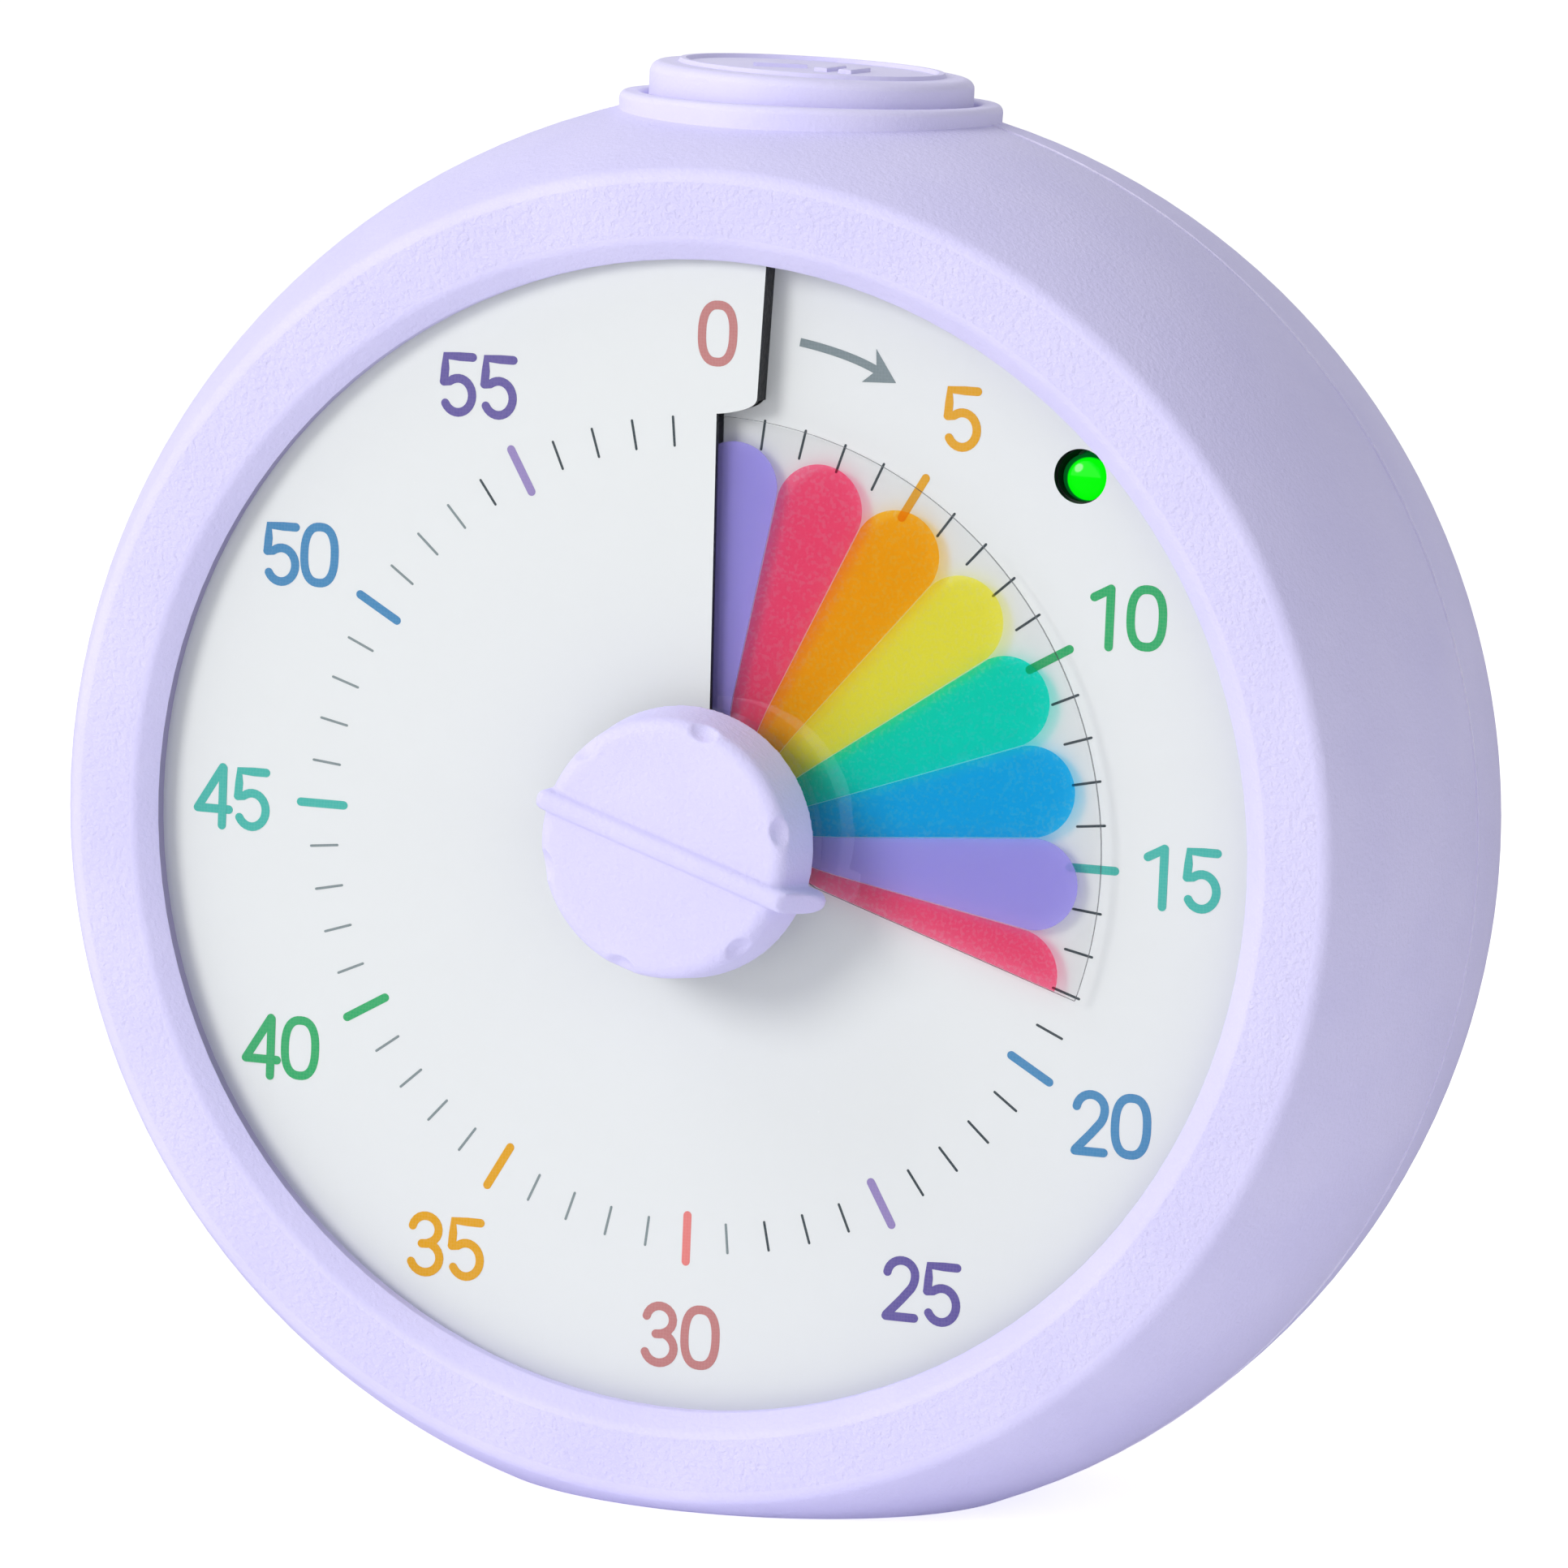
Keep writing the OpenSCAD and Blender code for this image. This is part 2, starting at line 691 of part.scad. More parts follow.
// Push switch on the board's back, under the button's post
module switch_body() {
    back = board_thick - board_z;
    floor_thick = 0.4;
    color(black_plastic) on_top() difference() {
        block(-switch_w / 2, switch_w / 2, back, back + switch_d, switch_top - switch_h, switch_top);
        rod(plunger_r + shaft_gap, switch_top - switch_h + floor_thick, switch_top + eps);
    }
}

module switch_plunger() {
    color(off_white) on_top() rod(plunger_r, plunger_top - plunger_h, plunger_top);
}

module dial_sheet() {
    jog_steps = 6;
    radii = concat(
        [dial_hole_r, (dial_hole_r + jog_r) / 2],
        [for (i = [0:jog_steps]) jog_r + jog_w * (i / jog_steps - 0.5)],
        [dial_r]
    );
    color(off_white) on_axis() difference() {
        ramp_sheet(radii, [for (r = radii) slit_deg(r)], dial_sweep_deg, 0, dial_thick, dial_steps);
        translate([lamp_pos[0], lamp_pos[1], 0]) rod(lamp_hole_r, dial_z - dial_rise, dial_z + dial_rise);
    }
}

// Ramped ring that carries the dial's rim and stands on the chassis
module dial_carrier() {
    radii = [carrier_r, dial_r];
    starts = [for (r = radii) slit_deg(r)];
    color(black_plastic) on_axis() difference() {
        ramp_sheet(radii, starts, dial_sweep_deg, -dial_thick - fit_gap / 2, 0, dial_steps, chassis_z);
        translate([lamp_pos[0], lamp_pos[1], 0]) rod(lamp_hole_r, chassis_z - wall, dial_z + dial_rise);
    }
}

module film_disc() {
    radii = [film_hole_r, (film_hole_r + film_r) / 2, film_r];
    color("#F59E1C") on_axis()
        ramp_sheet(radii, [for (r = radii) film_tail], film_sweep_deg, film_front, film_thick, dial_steps);
}

// Ramped flange that the film is bonded to, with the sleeve that slides on the knob's stem
module film_hub() {
    sleeve_wall = 1.2;
    sleeve_r = stem_r + shaft_gap + sleeve_wall;
    radii = [sleeve_r - sleeve_wall / 2, hub_flange_r];
    starts = [film_tail, film_tail];
    lead_z = ramp_z(film_lead);
    hub_steps = 36;
    color("#F2F3F5") on_axis() {
        ramp_sheet(radii, starts, film_sweep_deg, film_gap - fit_gap / 2, hub_flange_thick, hub_steps);
        difference() {
            rod(sleeve_r, ramp_z(film_tail) + film_gap - hub_flange_thick, lead_z + film_gap);
            rod(stem_r + shaft_gap, -big, big);
        }
    }
}

module hub_washer() {
    color("#E8E4EA", 0.4) on_axis() difference() {
        rod(washer_r, washer_z, boss_z);
        rod(stem_r + fit_gap / 2, washer_z - eps, boss_z + eps);
    }
}

module knob() {
    hollow_r = knob_side_r - knob_wall;
    roof_z = face_z - knob_wall;
    scallop_out = 0.5;
    scallop_up = 0.35;
    color(lavender) on_axis() difference() {
        union() {
            rotate_extrude() polygon(concat(
                [[0, boss_z], [boss_r, boss_z], [boss_r, roof_z], [hollow_r, roof_z]],
                [[hollow_r, skirt_z], [knob_r, skirt_z]],
                arc_pts([knob_side_r - knob_round, face_z - knob_round], knob_round, 0, 90, 8),
                [[0, face_z]]
            ));
            rod(stem_r, stem_end_z, boss_z + eps);
            rotate(90 - film_lead) pointer_ridge();
        }
        for (i = [0:scallops - 1]) rotate(90 - film_lead + (i + 0.5) * 360 / scallops)
            translate([knob_side_r + scallop_out, 0, face_z + scallop_up]) sphere(r = scallop_r);
        rod(arbor_r + shaft_gap / 2, stem_end_z - eps, arbor_tip_z);
    }
}

// A straight ridge across the face with a round top, whose nose slopes down past the rim, along +x
module pointer_ridge() {
    tip = knob_r + nose_reach;
    tail = knob_side_r + tail_out;
    crest = knob_side_r + crest_out;
    root = knob_side_r - knob_wall / 2;
    sunk_z = face_z - knob_wall / 2;
    foot_z = skirt_z + nose_foot;
    nose_z = foot_z + nose_edge;
    half_w = ridge_w / 2;
    intersection() {
        rotate([90, 0, 0]) translate([0, 0, -half_w]) linear_extrude(ridge_w) polygon([
            [-tail, face_z - knob_round], [-tail, ridge_z - blunt], [-tail + blunt, ridge_z],
            [crest - blunt, ridge_z], [crest, ridge_z - blunt], [tip, nose_z], [tip, foot_z],
            [root, foot_z], [root, sunk_z], [-root, sunk_z], [-root, face_z - knob_round]
        ]);
        // Seen from the front: the nose and the tail end in half rounds
        translate([0, 0, skirt_z]) linear_extrude(ridge_z) polygon(concat(
            arc_pts([tip - half_w, 0], half_w, -90, 90, 10),
            arc_pts([half_w - tail, 0], half_w, 90, 270, 10)
        ));
        ridge_bar(half_w);
    }
}

// Seen along the ridge: straight sides under a low arched top
module ridge_bar(half_w) {
    arch = half_w * arch_share;
    rotate([90, 0, 90]) translate([0, 0, -big / 2]) linear_extrude(big) polygon(concat(
        [[-half_w, skirt_z], [half_w, skirt_z]],
        [for (i = [0:10]) let (a = 18 * i) [half_w * cos(a), ridge_z - arch + arch * sin(a)]]
    ));
}

module arbor() {
    color("silver") on_axis() rod(arbor_r, arbor_end_z, arbor_tip_z - run_gap);
}

module arbor_bush() {
    color("goldenrod") on_axis() difference() {
        union() {
            rod(bush_r, chassis_back_z, chassis_z + eps);
            rod(bush_r + bush_step, chassis_z, chassis_z + bush_flange);
        }
        rod(arbor_r + shaft_gap, chassis_back_z - eps, chassis_z + bush_flange + eps);
    }
}

module drive_gear() {
    hub_r = 3.2;
    hole_place = 0.58;
    hole_share = 0.16;
    color("#F4F1E6") on_axis() difference() {
        union() {
            gear(drive_teeth, 0, drive_z);
            rod(hub_r, drive_z - gear_w - run_gap, drive_z);
        }
        rod(arbor_r + shaft_gap / 2, -big, big);
        for (a = [30:60:330]) rotate(a) translate([drive_pitch_r * hole_place, 0, 0])
            rod(drive_pitch_r * hole_share, -big, big);
    }
}

// Dished friction washer that presses the gear against the arbor's clip
module clutch_spring() {
    top = drive_z - gear_w - run_gap;
    in_r = arbor_r + fit_gap;
    out_r = 2 * arbor_r;
    leaf = 0.3;
    land = 0.6;
    color("silver") on_axis() rotate_extrude() polygon([
        [in_r, top - clutch_h], [in_r + 2 * land, top - clutch_h], [out_r, top - leaf],
        [out_r, top], [out_r - land, top], [in_r, top - clutch_h + leaf]
    ]);
}

module retaining_clip() {
    top = drive_z - gear_w - run_gap - clutch_h;
    rim = 1.4;
    slot_half_w = 0.6;
    color("silver") on_axis() difference() {
        rod(arbor_r + rim, top - clip_thick, top);
        rod(arbor_r + shaft_gap / 2, -big, big);
        block(-slot_half_w, slot_half_w, 0, big, -big, big);
    }
}

// Pinion and wheel in one moulding, turning on a fixed pin
module idler_gear() {
    hole_place = 0.6;
    hole_share = 0.15;
    color("#F4F1E6") on_axis() translate([idler_x, 0, 0]) difference() {
        union() {
            gear(pinion_teeth, 180 + 180 / pinion_teeth, drive_z);
            gear(wheel_teeth, 90, wheel_z);
            rod(pinion_pitch_r - 1.2 * gear_m, wheel_z - eps, drive_z - gear_w + eps);
        }
        rod(pin_r + shaft_gap, -big, big);
        for (a = [0:60:300]) rotate(a) translate([wheel_pitch_r * hole_place, 0, 0])
            rod(wheel_pitch_r * hole_share, -big, wheel_z + eps);
    }
}

module idler_pin() {
    color("silver") on_axis() translate([idler_x, 0, 0])
        rod(pin_r, cover_back_z + run_gap, chassis_back_z + chassis_thick / 2);
}

module motor_pinion() {
    color("#F4F1E6") on_axis() translate([idler_x, motor_y, 0]) {
        gear(pinion_teeth, 270 + 180 / pinion_teeth, wheel_z);
        rod(motor_shaft_r, cover_back_z - shaft_sunk, wheel_z - gear_w + eps);
    }
}

module gear_motor() {
    tail_r = motor_shaft_r + tail_wall;
    tail_h = 0.8;
    color("silver") on_axis() translate([idler_x, motor_y, 0]) difference() {
        union() {
            rod(motor_r, cover_back_z - motor_h, cover_back_z);
            rod(tail_r, cover_back_z - motor_h - tail_h, cover_back_z - motor_h + eps);
        }
        rod(motor_shaft_r + shaft_gap, cover_back_z - shaft_sunk - run_gap, cover_back_z + eps);
    }
}

module cover_outline(grow) {
    hull() {
        circle(r = cover_drive_r + grow, $fn = 48);
        translate([idler_x, 0]) circle(r = cover_wheel_r + grow, $fn = 48);
        translate([idler_x, motor_y]) circle(r = motor_r + motor_room + grow, $fn = 48);
    }
}

// Shallow cup over the gears, screwed to the chassis through three ears
module gearbox_cover() {
    color("#C9CDD3") on_axis() difference() {
        union() {
            translate([0, 0, cover_back_z]) linear_extrude(chassis_back_z - cover_back_z)
                cover_outline(cover_wall);
            at_gear_screws() rod(post_r, cover_back_z, chassis_back_z);
        }
        translate([0, 0, cover_z]) linear_extrude(chassis_back_z - cover_z + eps) cover_outline(0);
        rod(arbor_r + shaft_gap, cover_back_z - eps, cover_z + eps);
        translate([idler_x, 0, 0]) rod(pin_r, cover_back_z - eps, cover_z + eps);
        translate([idler_x, motor_y, 0]) rod(motor_shaft_r + run_gap, cover_back_z - eps, cover_z + eps);
        at_gear_screws() rod(small_shank_r + fit_gap, cover_back_z - eps, chassis_back_z + eps);
    }
}

// Plate behind the dial that carries the bearing, the gears, the board and the posts for the rear case
module chassis() {
    rim_r = seat_r + seat_wall + 2 * small_head_r + screw_lug;
    // Notch that leaves room for the button's travel
    notch_half_w = collar_r + collar_flange_w + run_gap;
    notch_y = cap_flange_top - cap_flange_h - press - run_gap;
    color("#C9CDD3") on_axis() difference() {
        union() {
            intersection() {
                rod(rim_r, chassis_back_z, chassis_z);
                above(-axis_h + wall + run_gap);
            }
            at_case_screws() rod(post_r, 0, chassis_back_z + eps);
            at_board_screws() rod(post_r, board_z, chassis_back_z + eps);
        }
        block(-notch_half_w, notch_half_w, notch_y, big, chassis_back_z - eps, chassis_z + eps);
        rod(bush_r, chassis_back_z - eps, chassis_z + eps);
        at_chassis_screws() rod(small_shank_r + fit_gap, chassis_back_z - eps, chassis_z + eps);
        at_case_screws() rod(shank_r, -eps, chassis_back_z);
        at_board_screws() rod(small_shank_r, board_z - eps, chassis_back_z);
        at_gear_screws() rod(small_shank_r, chassis_back_z - eps, chassis_z + eps);
        translate([idler_x, 0, 0]) rod(pin_r, chassis_back_z - eps, chassis_z - chassis_thick / 2);
        translate([lamp_pos[0], lamp_pos[1], 0])
            rod(lamp_dome_r + fit_gap, chassis_back_z - eps, chassis_z + eps);
    }
}

module main_board() {
    color("#2E6B4F") on_axis() difference() {
        intersection() {
            block(-board_half_w, board_half_w, board_low, board_high, board_z - board_thick, board_z);
            rod(crown_r - 2 * wall - board_edge_gap, -big, big);
        }
        at_board_screws() rod(small_shank_r + fit_gap, -big, big);
        at_case_screws() rod(post_r + run_gap, -big, big);
        for (side = [-1, 1]) translate([lamp_pos[0] + side * lead_x, lamp_pos[1], 0])
            rod(lead_r + fit_gap, -big, big);
    }
}

// Moulded dome over the controller, on the board's back
module controller_chip() {
    dome_h = 1.6;
    foot_r = 5;
    dome_r = (foot_r * foot_r + dome_h * dome_h) / (2 * dome_h);
    color(black_plastic) on_axis() translate([chip_pos[0], chip_pos[1], 0]) intersection() {
        translate([0, 0, board_z - board_thick - dome_h + dome_r]) sphere(r = dome_r);
        rod(foot_r, -big, board_z - board_thick);
    }
}

module status_lamp() {
    color("#16F01A") on_axis() translate([lamp_pos[0], lamp_pos[1], 0]) {
        translate([0, 0, lamp_tip_z - lamp_dome_r]) sphere(r = lamp_dome_r);
        rod(lamp_dome_r, chassis_back_z, lamp_tip_z - lamp_dome_r);
        rod(lamp_rim_r, chassis_back_z - lamp_rim_h, chassis_back_z);
        for (side = [-1, 1]) translate([side * lead_x, 0, 0])
            rod(lead_r, board_z - board_thick - lead_past, chassis_back_z - lamp_rim_h + eps);
    }
}

module buzzer() {
    port_r = 1.5;
    port_depth = 1;
    color(black_plastic) on_axis() translate([buzzer_pos[0], buzzer_pos[1], 0]) difference() {
        rod(buzzer_r, back_in_z, back_in_z + buzzer_h);
        rod(port_r, back_in_z - eps, back_in_z + port_depth);
    }
}

module slide_switch() {
    half = (slider_travel + slider_w) / 2 + run_gap;
    color("silver") on_axis() translate([slider_pos[0], slider_pos[1], 0]) difference() {
        slide_box(0, back_in_z, back_in_z + switch_case_h);
        block(
            -half, half, -slider_h / 2 - run_gap, slider_h / 2 + run_gap,
            back_in_z - eps, back_in_z + shank_depth + run_gap
        );
    }
}

// The thumb piece lies in its recess, with its shank running into the switch
module sound_slider() {
    half_w = slider_w / 2 + slider_travel / 8;
    half_h = slider_h - run_gap;
    back = -rear_depth;
    color(black_plastic) on_axis() translate([slider_pos[0] - slider_travel / 2, slider_pos[1], 0]) {
        block(
            -slider_w / 2, slider_w / 2, -slider_h / 2, slider_h / 2,
            back + grip_depth, back_in_z + shank_depth
        );
        difference() {
            block(-half_w, half_w, -half_h, half_h, back, back + thumb_recess - run_gap);
            for (x = [-1, 0, 1])
                block(x - grip_half_w, x + grip_half_w, -big, big, back - eps, back + grip_depth);
        }
    }
}

// Door whose lower edge is rounded about its hinge line and carries a pin at each end
module battery_door() {
    back = -rear_depth;
    latch_half_w = 5;
    latch_y = door_top - 2.6;
    latch_w = 1;
    latch_h = 1.2;
    rib_step = 1.2;
    rib_half_w = 6;
    rib_y = door_top - 4.2;
    groove_w = 0.5;
    groove_depth = 0.35;
    color(lavender) on_axis() difference() {
        union() {
            block(-door_half_w, door_half_w, hinge_y, door_top, back, back + door_thick);
            on_hinge() rod(hinge_r, -door_half_w, door_half_w);
            on_hinge() rod(hinge_pin_r, -door_half_w - hinge_pin_l, door_half_w + hinge_pin_l);
            block(
                -latch_half_w, latch_half_w, latch_y, latch_y + latch_w,
                back + door_thick - eps, back + door_thick + latch_h
            );
        }
        for (i = [0:3]) translate([0, rib_y - i * rib_step, 0])
            block(-rib_half_w, rib_half_w, 0, groove_w, back - eps, back + groove_depth);
    }
}

// Two cells lying opposite ways, each with its tip on a plate and its foot on a spring
module batteries() {
    tip_l = 1.1;
    tip_r = 1.9;
    color("#6B6F76") on_axis() for (side = [-1, 1])
        translate([0, -bay_drop + side * cell_rise, cell_z]) rotate([0, side * 90, 0]) {
            rod(cell_d / 2, cell_foot_x, cell_tip_x - tip_l);
            rod(tip_r, cell_tip_x - tip_l - eps, cell_tip_x);
        }
}

// A tapering coil from the cell's foot to the bay's end wall
module coil_spring(length, r0, r1, turns) {
    sides = 6;
    per_turn = 10;
    n = turns * per_turn;
    rings = [for (i = [0:n]) let (t = i / n, a = 360 * turns * t, r = r0 + (r1 - r0) * t)
        [for (k = [0:sides - 1]) let (b = 360 * k / sides, q = r + spring_wire * cos(b))
            [q * cos(a), q * sin(a), spring_wire + (length - 2 * spring_wire) * t + spring_wire * sin(b)]]];
    points = [for (ring = rings) each ring];
    skin = [for (i = [0:n - 1]) for (k = [0:sides - 1])
        let (a = i * sides + k, b = i * sides + (k + 1) % sides)
        each [[a, b, b + sides], [a, b + sides, a + sides]]];
    ends = concat(
        [for (k = [1:sides - 2]) [0, k + 1, k]],
        [for (k = [1:sides - 2]) [n * sides, n * sides + k, n * sides + k + 1]]
    );
    polyhedron(points = points, faces = concat(skin, ends));
}

module contact_springs() {
    color("silver") on_axis() for (side = [-1, 1])
        translate([side * (-bay_half_w + contact_thick + fit_gap), -bay_drop + side * cell_rise, cell_z])
            rotate([0, side * 90, 0]) coil_spring(spring_l, spring_foot_r, spring_tip_r, spring_turns);
}

// Sprung steel plates at both ends of the bay
module contact_plates() {
    edge_gap = 0.4;
    half_h = bay_half_h - edge_gap;
    half_d = cell_d / 2 - bay_room;
    half_thick = contact_thick / 2;
    color("silver") on_axis() for (side = [-1, 1])
        translate([side * (bay_half_w - half_thick), -bay_drop, cell_z])
            block(-half_thick, half_thick, -half_h, half_h, -half_d, half_d);
}

module case_screws() {
    color("silver") on_axis() at_case_screws() translate([0, 0, -rear_depth + wall + head_h])
        screw(head_r, head_h, shank_r, rear_depth - wall - head_h + thread_l);
}

module chassis_screws() {
    color("silver") on_axis() at_chassis_screws() translate([0, 0, chassis_back_z])
        screw(small_head_r, small_head_h, small_shank_r, chassis_thick + small_thread_l);
}

module board_screws() {
    color("silver") on_axis() at_board_screws() translate([0, 0, board_z - board_thick])
        screw(small_head_r, small_head_h, small_shank_r, board_thick + small_thread_l);
}

module gearbox_screws() {
    color("silver") on_axis() at_gear_screws() translate([0, 0, cover_back_z])
        screw(small_head_r, small_head_h, small_shank_r, chassis_back_z - cover_back_z + chassis_thick);
}

front_case();
rear_case();
button_collar();
top_button();
switch_body();
switch_plunger();
dial_sheet();
dial_carrier();
film_disc();
film_hub();
hub_washer();
knob();
arbor();
arbor_bush();
drive_gear();
clutch_spring();
retaining_clip();
idler_gear();
idler_pin();
motor_pinion();
gear_motor();
gearbox_cover();
chassis();
main_board();
controller_chip();
status_lamp();
buzzer();
slide_switch();
sound_slider();
battery_door();
batteries();
contact_springs();
contact_plates();
case_screws();
chassis_screws();
board_screws();
gearbox_screws();
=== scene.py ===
"""Looks of the visual timer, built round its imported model, in the model's own frame."""

import math

import bmesh
import bpy
from mathutils import Matrix, Vector


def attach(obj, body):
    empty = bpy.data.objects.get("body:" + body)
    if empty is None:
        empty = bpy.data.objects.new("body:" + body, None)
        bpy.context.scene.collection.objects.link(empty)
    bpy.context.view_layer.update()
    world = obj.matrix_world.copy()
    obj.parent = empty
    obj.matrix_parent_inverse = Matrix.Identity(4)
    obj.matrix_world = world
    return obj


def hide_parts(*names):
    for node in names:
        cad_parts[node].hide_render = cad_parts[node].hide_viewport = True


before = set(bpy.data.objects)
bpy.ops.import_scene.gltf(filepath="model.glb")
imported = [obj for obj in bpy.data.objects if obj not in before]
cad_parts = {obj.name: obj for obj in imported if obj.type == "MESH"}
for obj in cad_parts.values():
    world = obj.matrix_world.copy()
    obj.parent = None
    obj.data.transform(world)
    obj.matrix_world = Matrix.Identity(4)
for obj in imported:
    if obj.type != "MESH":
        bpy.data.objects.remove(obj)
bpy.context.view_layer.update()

# Sizes are in millimetres, as in the part's source. The dial's frame has x to the right, y up and z towards
# the viewer, with z = 0 at the parting line of the case.
MM = 0.001
AXIS_H = 50.3
PARTING_Y = 4.875
DIAL_PLACE = Matrix((
    (MM, 0, 0, 0),
    (0, 0, -MM, PARTING_Y * MM),
    (0, MM, 0, AXIS_H * MM),
    (0, 0, 0, 1),
))

# The dial's spiral: its level at the slit, its rise over one turn, and how far its lower end runs on under
# its upper end
DIAL_Z = 16.3
DIAL_RISE = 2.0
DIAL_R = 43.2
DIAL_HOLE_R = 8.0
DIAL_THICK = 0.5
DIAL_SWEEP = 359.9
DIAL_LAP = 0.2
DIAL_STEPS = 240
DIAL_INNER_RINGS = (DIAL_HOLE_R, 12, 18, 24, 28.5)
DIAL_OUTER_RINGS = (33.5, 35, 37, 39, 41, 42.4, DIAL_R)

# The dial's slit: the place and lean of its inner and outer part, and the curved jog between them
SLIT_X = 0.2
SLIT_LEAN = 0.9
TAB_X = 3.65
TAB_LEAN = 1.8
JOG_R = 32.0
JOG_W = 1.5
JOG_BEND = 2.2
JOG_CLIMB = 0.75
JOG_STEPS = 20

# The film: the level of its front above the dial, and how much higher it stands outside the knob
FILM_R = 31.0
FILM_HOLE_R = 5.0
FILM_FRONT = 0.5
FILM_LIFT = 0.75
FILM_LIFT_R = (8.6, 9.6)
FILM_RINGS = (FILM_HOLE_R, *FILM_LIFT_R, 12, 16, 22, 28, FILM_R)
FILM_THICK = 0.3
FILM_LEAD = 108.0
FILM_SWEEP = 356.0
FILM_STEPS = 178

# The petals printed on the film: pitch and first edge in degrees, the number of the one that the film's
# leading edge cuts, then sizes
PETAL_PITCH = 15.0
PETAL_EDGE = 10.5
PETAL_LEAD = 7
PETAL_FOOT_R = 6.4
PETAL_TIP_R = 25.9
PETAL_ROUND = 3.38
PETAL_GAP = 0.02
PETAL_THICK = 0.02
PETAL_BACK = 0.05
PETAL_STEPS = 14

# The lamp: its hole and how far the drill for it reaches, its dome, flange and leads, where its lens sits in
# the hole, and the lit circle on the lens
LAMP_R = 39.7
LAMP_CLOCK = 44.2
LAMP_HOLE_R = 2.0
DRILL_REACH = 3.0
LAMP_TIP_Z = 15.95
LAMP_DOME_R = 1.72
LAMP_DOME_H = 0.8
LAMP_RIM_R = 1.9
LAMP_RIM_Z = (10.4, 11.3)
LAMP_SHIFT = (0.0, -0.2)
LEAD_R = 0.25
LEAD_L = 7.8
LEAD_Z = 6.5
LEAD_PITCH = 1.27
# The lit circle is set off the lens's middle, so that one side of the lens is painted shade
GLOW_SHIFT = (0.33, -0.05)
GLOW_R = (1.52, 1.62)

# The button's cap and its collar: levels above the axis, the cap's lean in degrees and how much lower it
# sits, how much wider and higher the collar's rim is, and how soon it widens
CAP_TOP_H = 55.984
CAP_LOW_H = 53.2
CAP_LEAN = 1.35
CAP_SINK = 0.32
COLLAR_SEAT_H = 52.2
COLLAR_TOP_H = 53.38
COLLAR_BORE_R = 13.5
COLLAR_GROW = (0.2, 0.2)
COLLAR_STEEP = 4

# Radius, level and round of the two rings on the bezel: the crease to the bevel, and the lip's edge
BEZEL_RINGS = ((44.0, 20.9, 0.45), (42.5, 19.4, 0.12))
RING_NEAR = 0.03
# Where the bezel's flat and the lip's wall lie, how squarely their faces look to the front and to the axis,
# and the places from left to right between which the wall's painted shade fades out
BEZEL_Y = -15.9
FLAT_COS = 0.99
LIP_R = 42.5
LIP_SPAN = 0.3
LIP_BACK_Z = 18.5
WALL_COS = 0.9
LIP_SHADE_FADE = (-38.0, -14.0)

# Radius of the rear half's rim at the parting line, in the model and as moulded, and the foot's height
RIM_R = (53.9, 54.28)
FOOT_H = 0.5


def clock_point(r, clock):
    """A flat point on the dial from its radius and clock angle."""
    return Vector((r * math.sin(math.radians(clock)), r * math.cos(math.radians(clock)), 0))


HOLE_AT = clock_point(LAMP_R, LAMP_CLOCK)
LENS_AT = HOLE_AT + Vector((*LAMP_SHIFT, 0))


# Node and colour helpers

def linear(code):
    """An sRGB hex colour as linear red, green, blue and alpha."""
    parts = [int(code[i:i + 2], 16) / 255 for i in (1, 3, 5)]
    return (*(p / 12.92 if p <= 0.04045 else ((p + 0.055) / 1.055) ** 2.4 for p in parts), 1.0)


def add(tree, kind, inputs=None, **settings):
    """A new node with its settings, its input values and the links into it."""
    made = tree.nodes.new("ShaderNode" + kind)
    for name, value in settings.items():
        setattr(made, name, value)
    for name, value in (inputs or {}).items():
        if isinstance(value, bpy.types.NodeSocket):
            tree.links.new(value, made.inputs[name])
        else:
            made.inputs[name].default_value = value
    return made


def start(name):
    """A new material's node tree, with its object coordinates."""
    made = bpy.data.materials.new(name)
    made.use_nodes = True
    made.node_tree.nodes.clear()
    return made, made.node_tree, add(made.node_tree, "TexCoord").outputs["Object"]


def close(made, tree, shader):
    """Links the last shader to the material's output."""
    add(tree, "OutputMaterial", {"Surface": shader.outputs[0]})
    return made


# Materials

def moulded_abs(name, body_hex, tint_hex, roughness, grain=0.38, depth=0.1):
    """ABS from a spark-eroded tool: an even, softly glinting grain and a faint change of tone."""
    made, tree, at = start(name)
    # Real grain is about 0.1 mm; it is drawn at 0.4 to 0.6 mm so that the render can show it
    fine = add(tree, "TexNoise", {"Vector": at, "Scale": 1 / (grain * MM), "Detail": 3.0, "Roughness": 0.6})
    tone = add(tree, "TexNoise", {"Vector": at, "Scale": 1 / (9 * MM), "Detail": 2.0})
    blend = add(tree, "MapRange", {"Value": tone.outputs["Fac"], "From Min": 0.35, "From Max": 0.65})
    base = add(tree, "Mix", {
        0: blend.outputs["Result"], 6: linear(body_hex), 7: linear(tint_hex),
    }, data_type="RGBA")
    rough = add(tree, "MapRange", {
        "Value": fine.outputs["Fac"], "From Min": 0.3, "From Max": 0.7,
        "To Min": roughness - 0.06, "To Max": roughness + 0.06,
    })
    bump = add(tree, "Bump", {"Height": fine.outputs["Fac"], "Strength": 0.8, "Distance": depth * MM})
    shader = add(tree, "BsdfPrincipled", {
        "Base Color": base.outputs[2], "Roughness": rough.outputs["Result"], "IOR": 1.53,
        "Specular IOR Level": 0.35, "Normal": bump.outputs["Normal"],
    })
    return close(made, tree, shader)


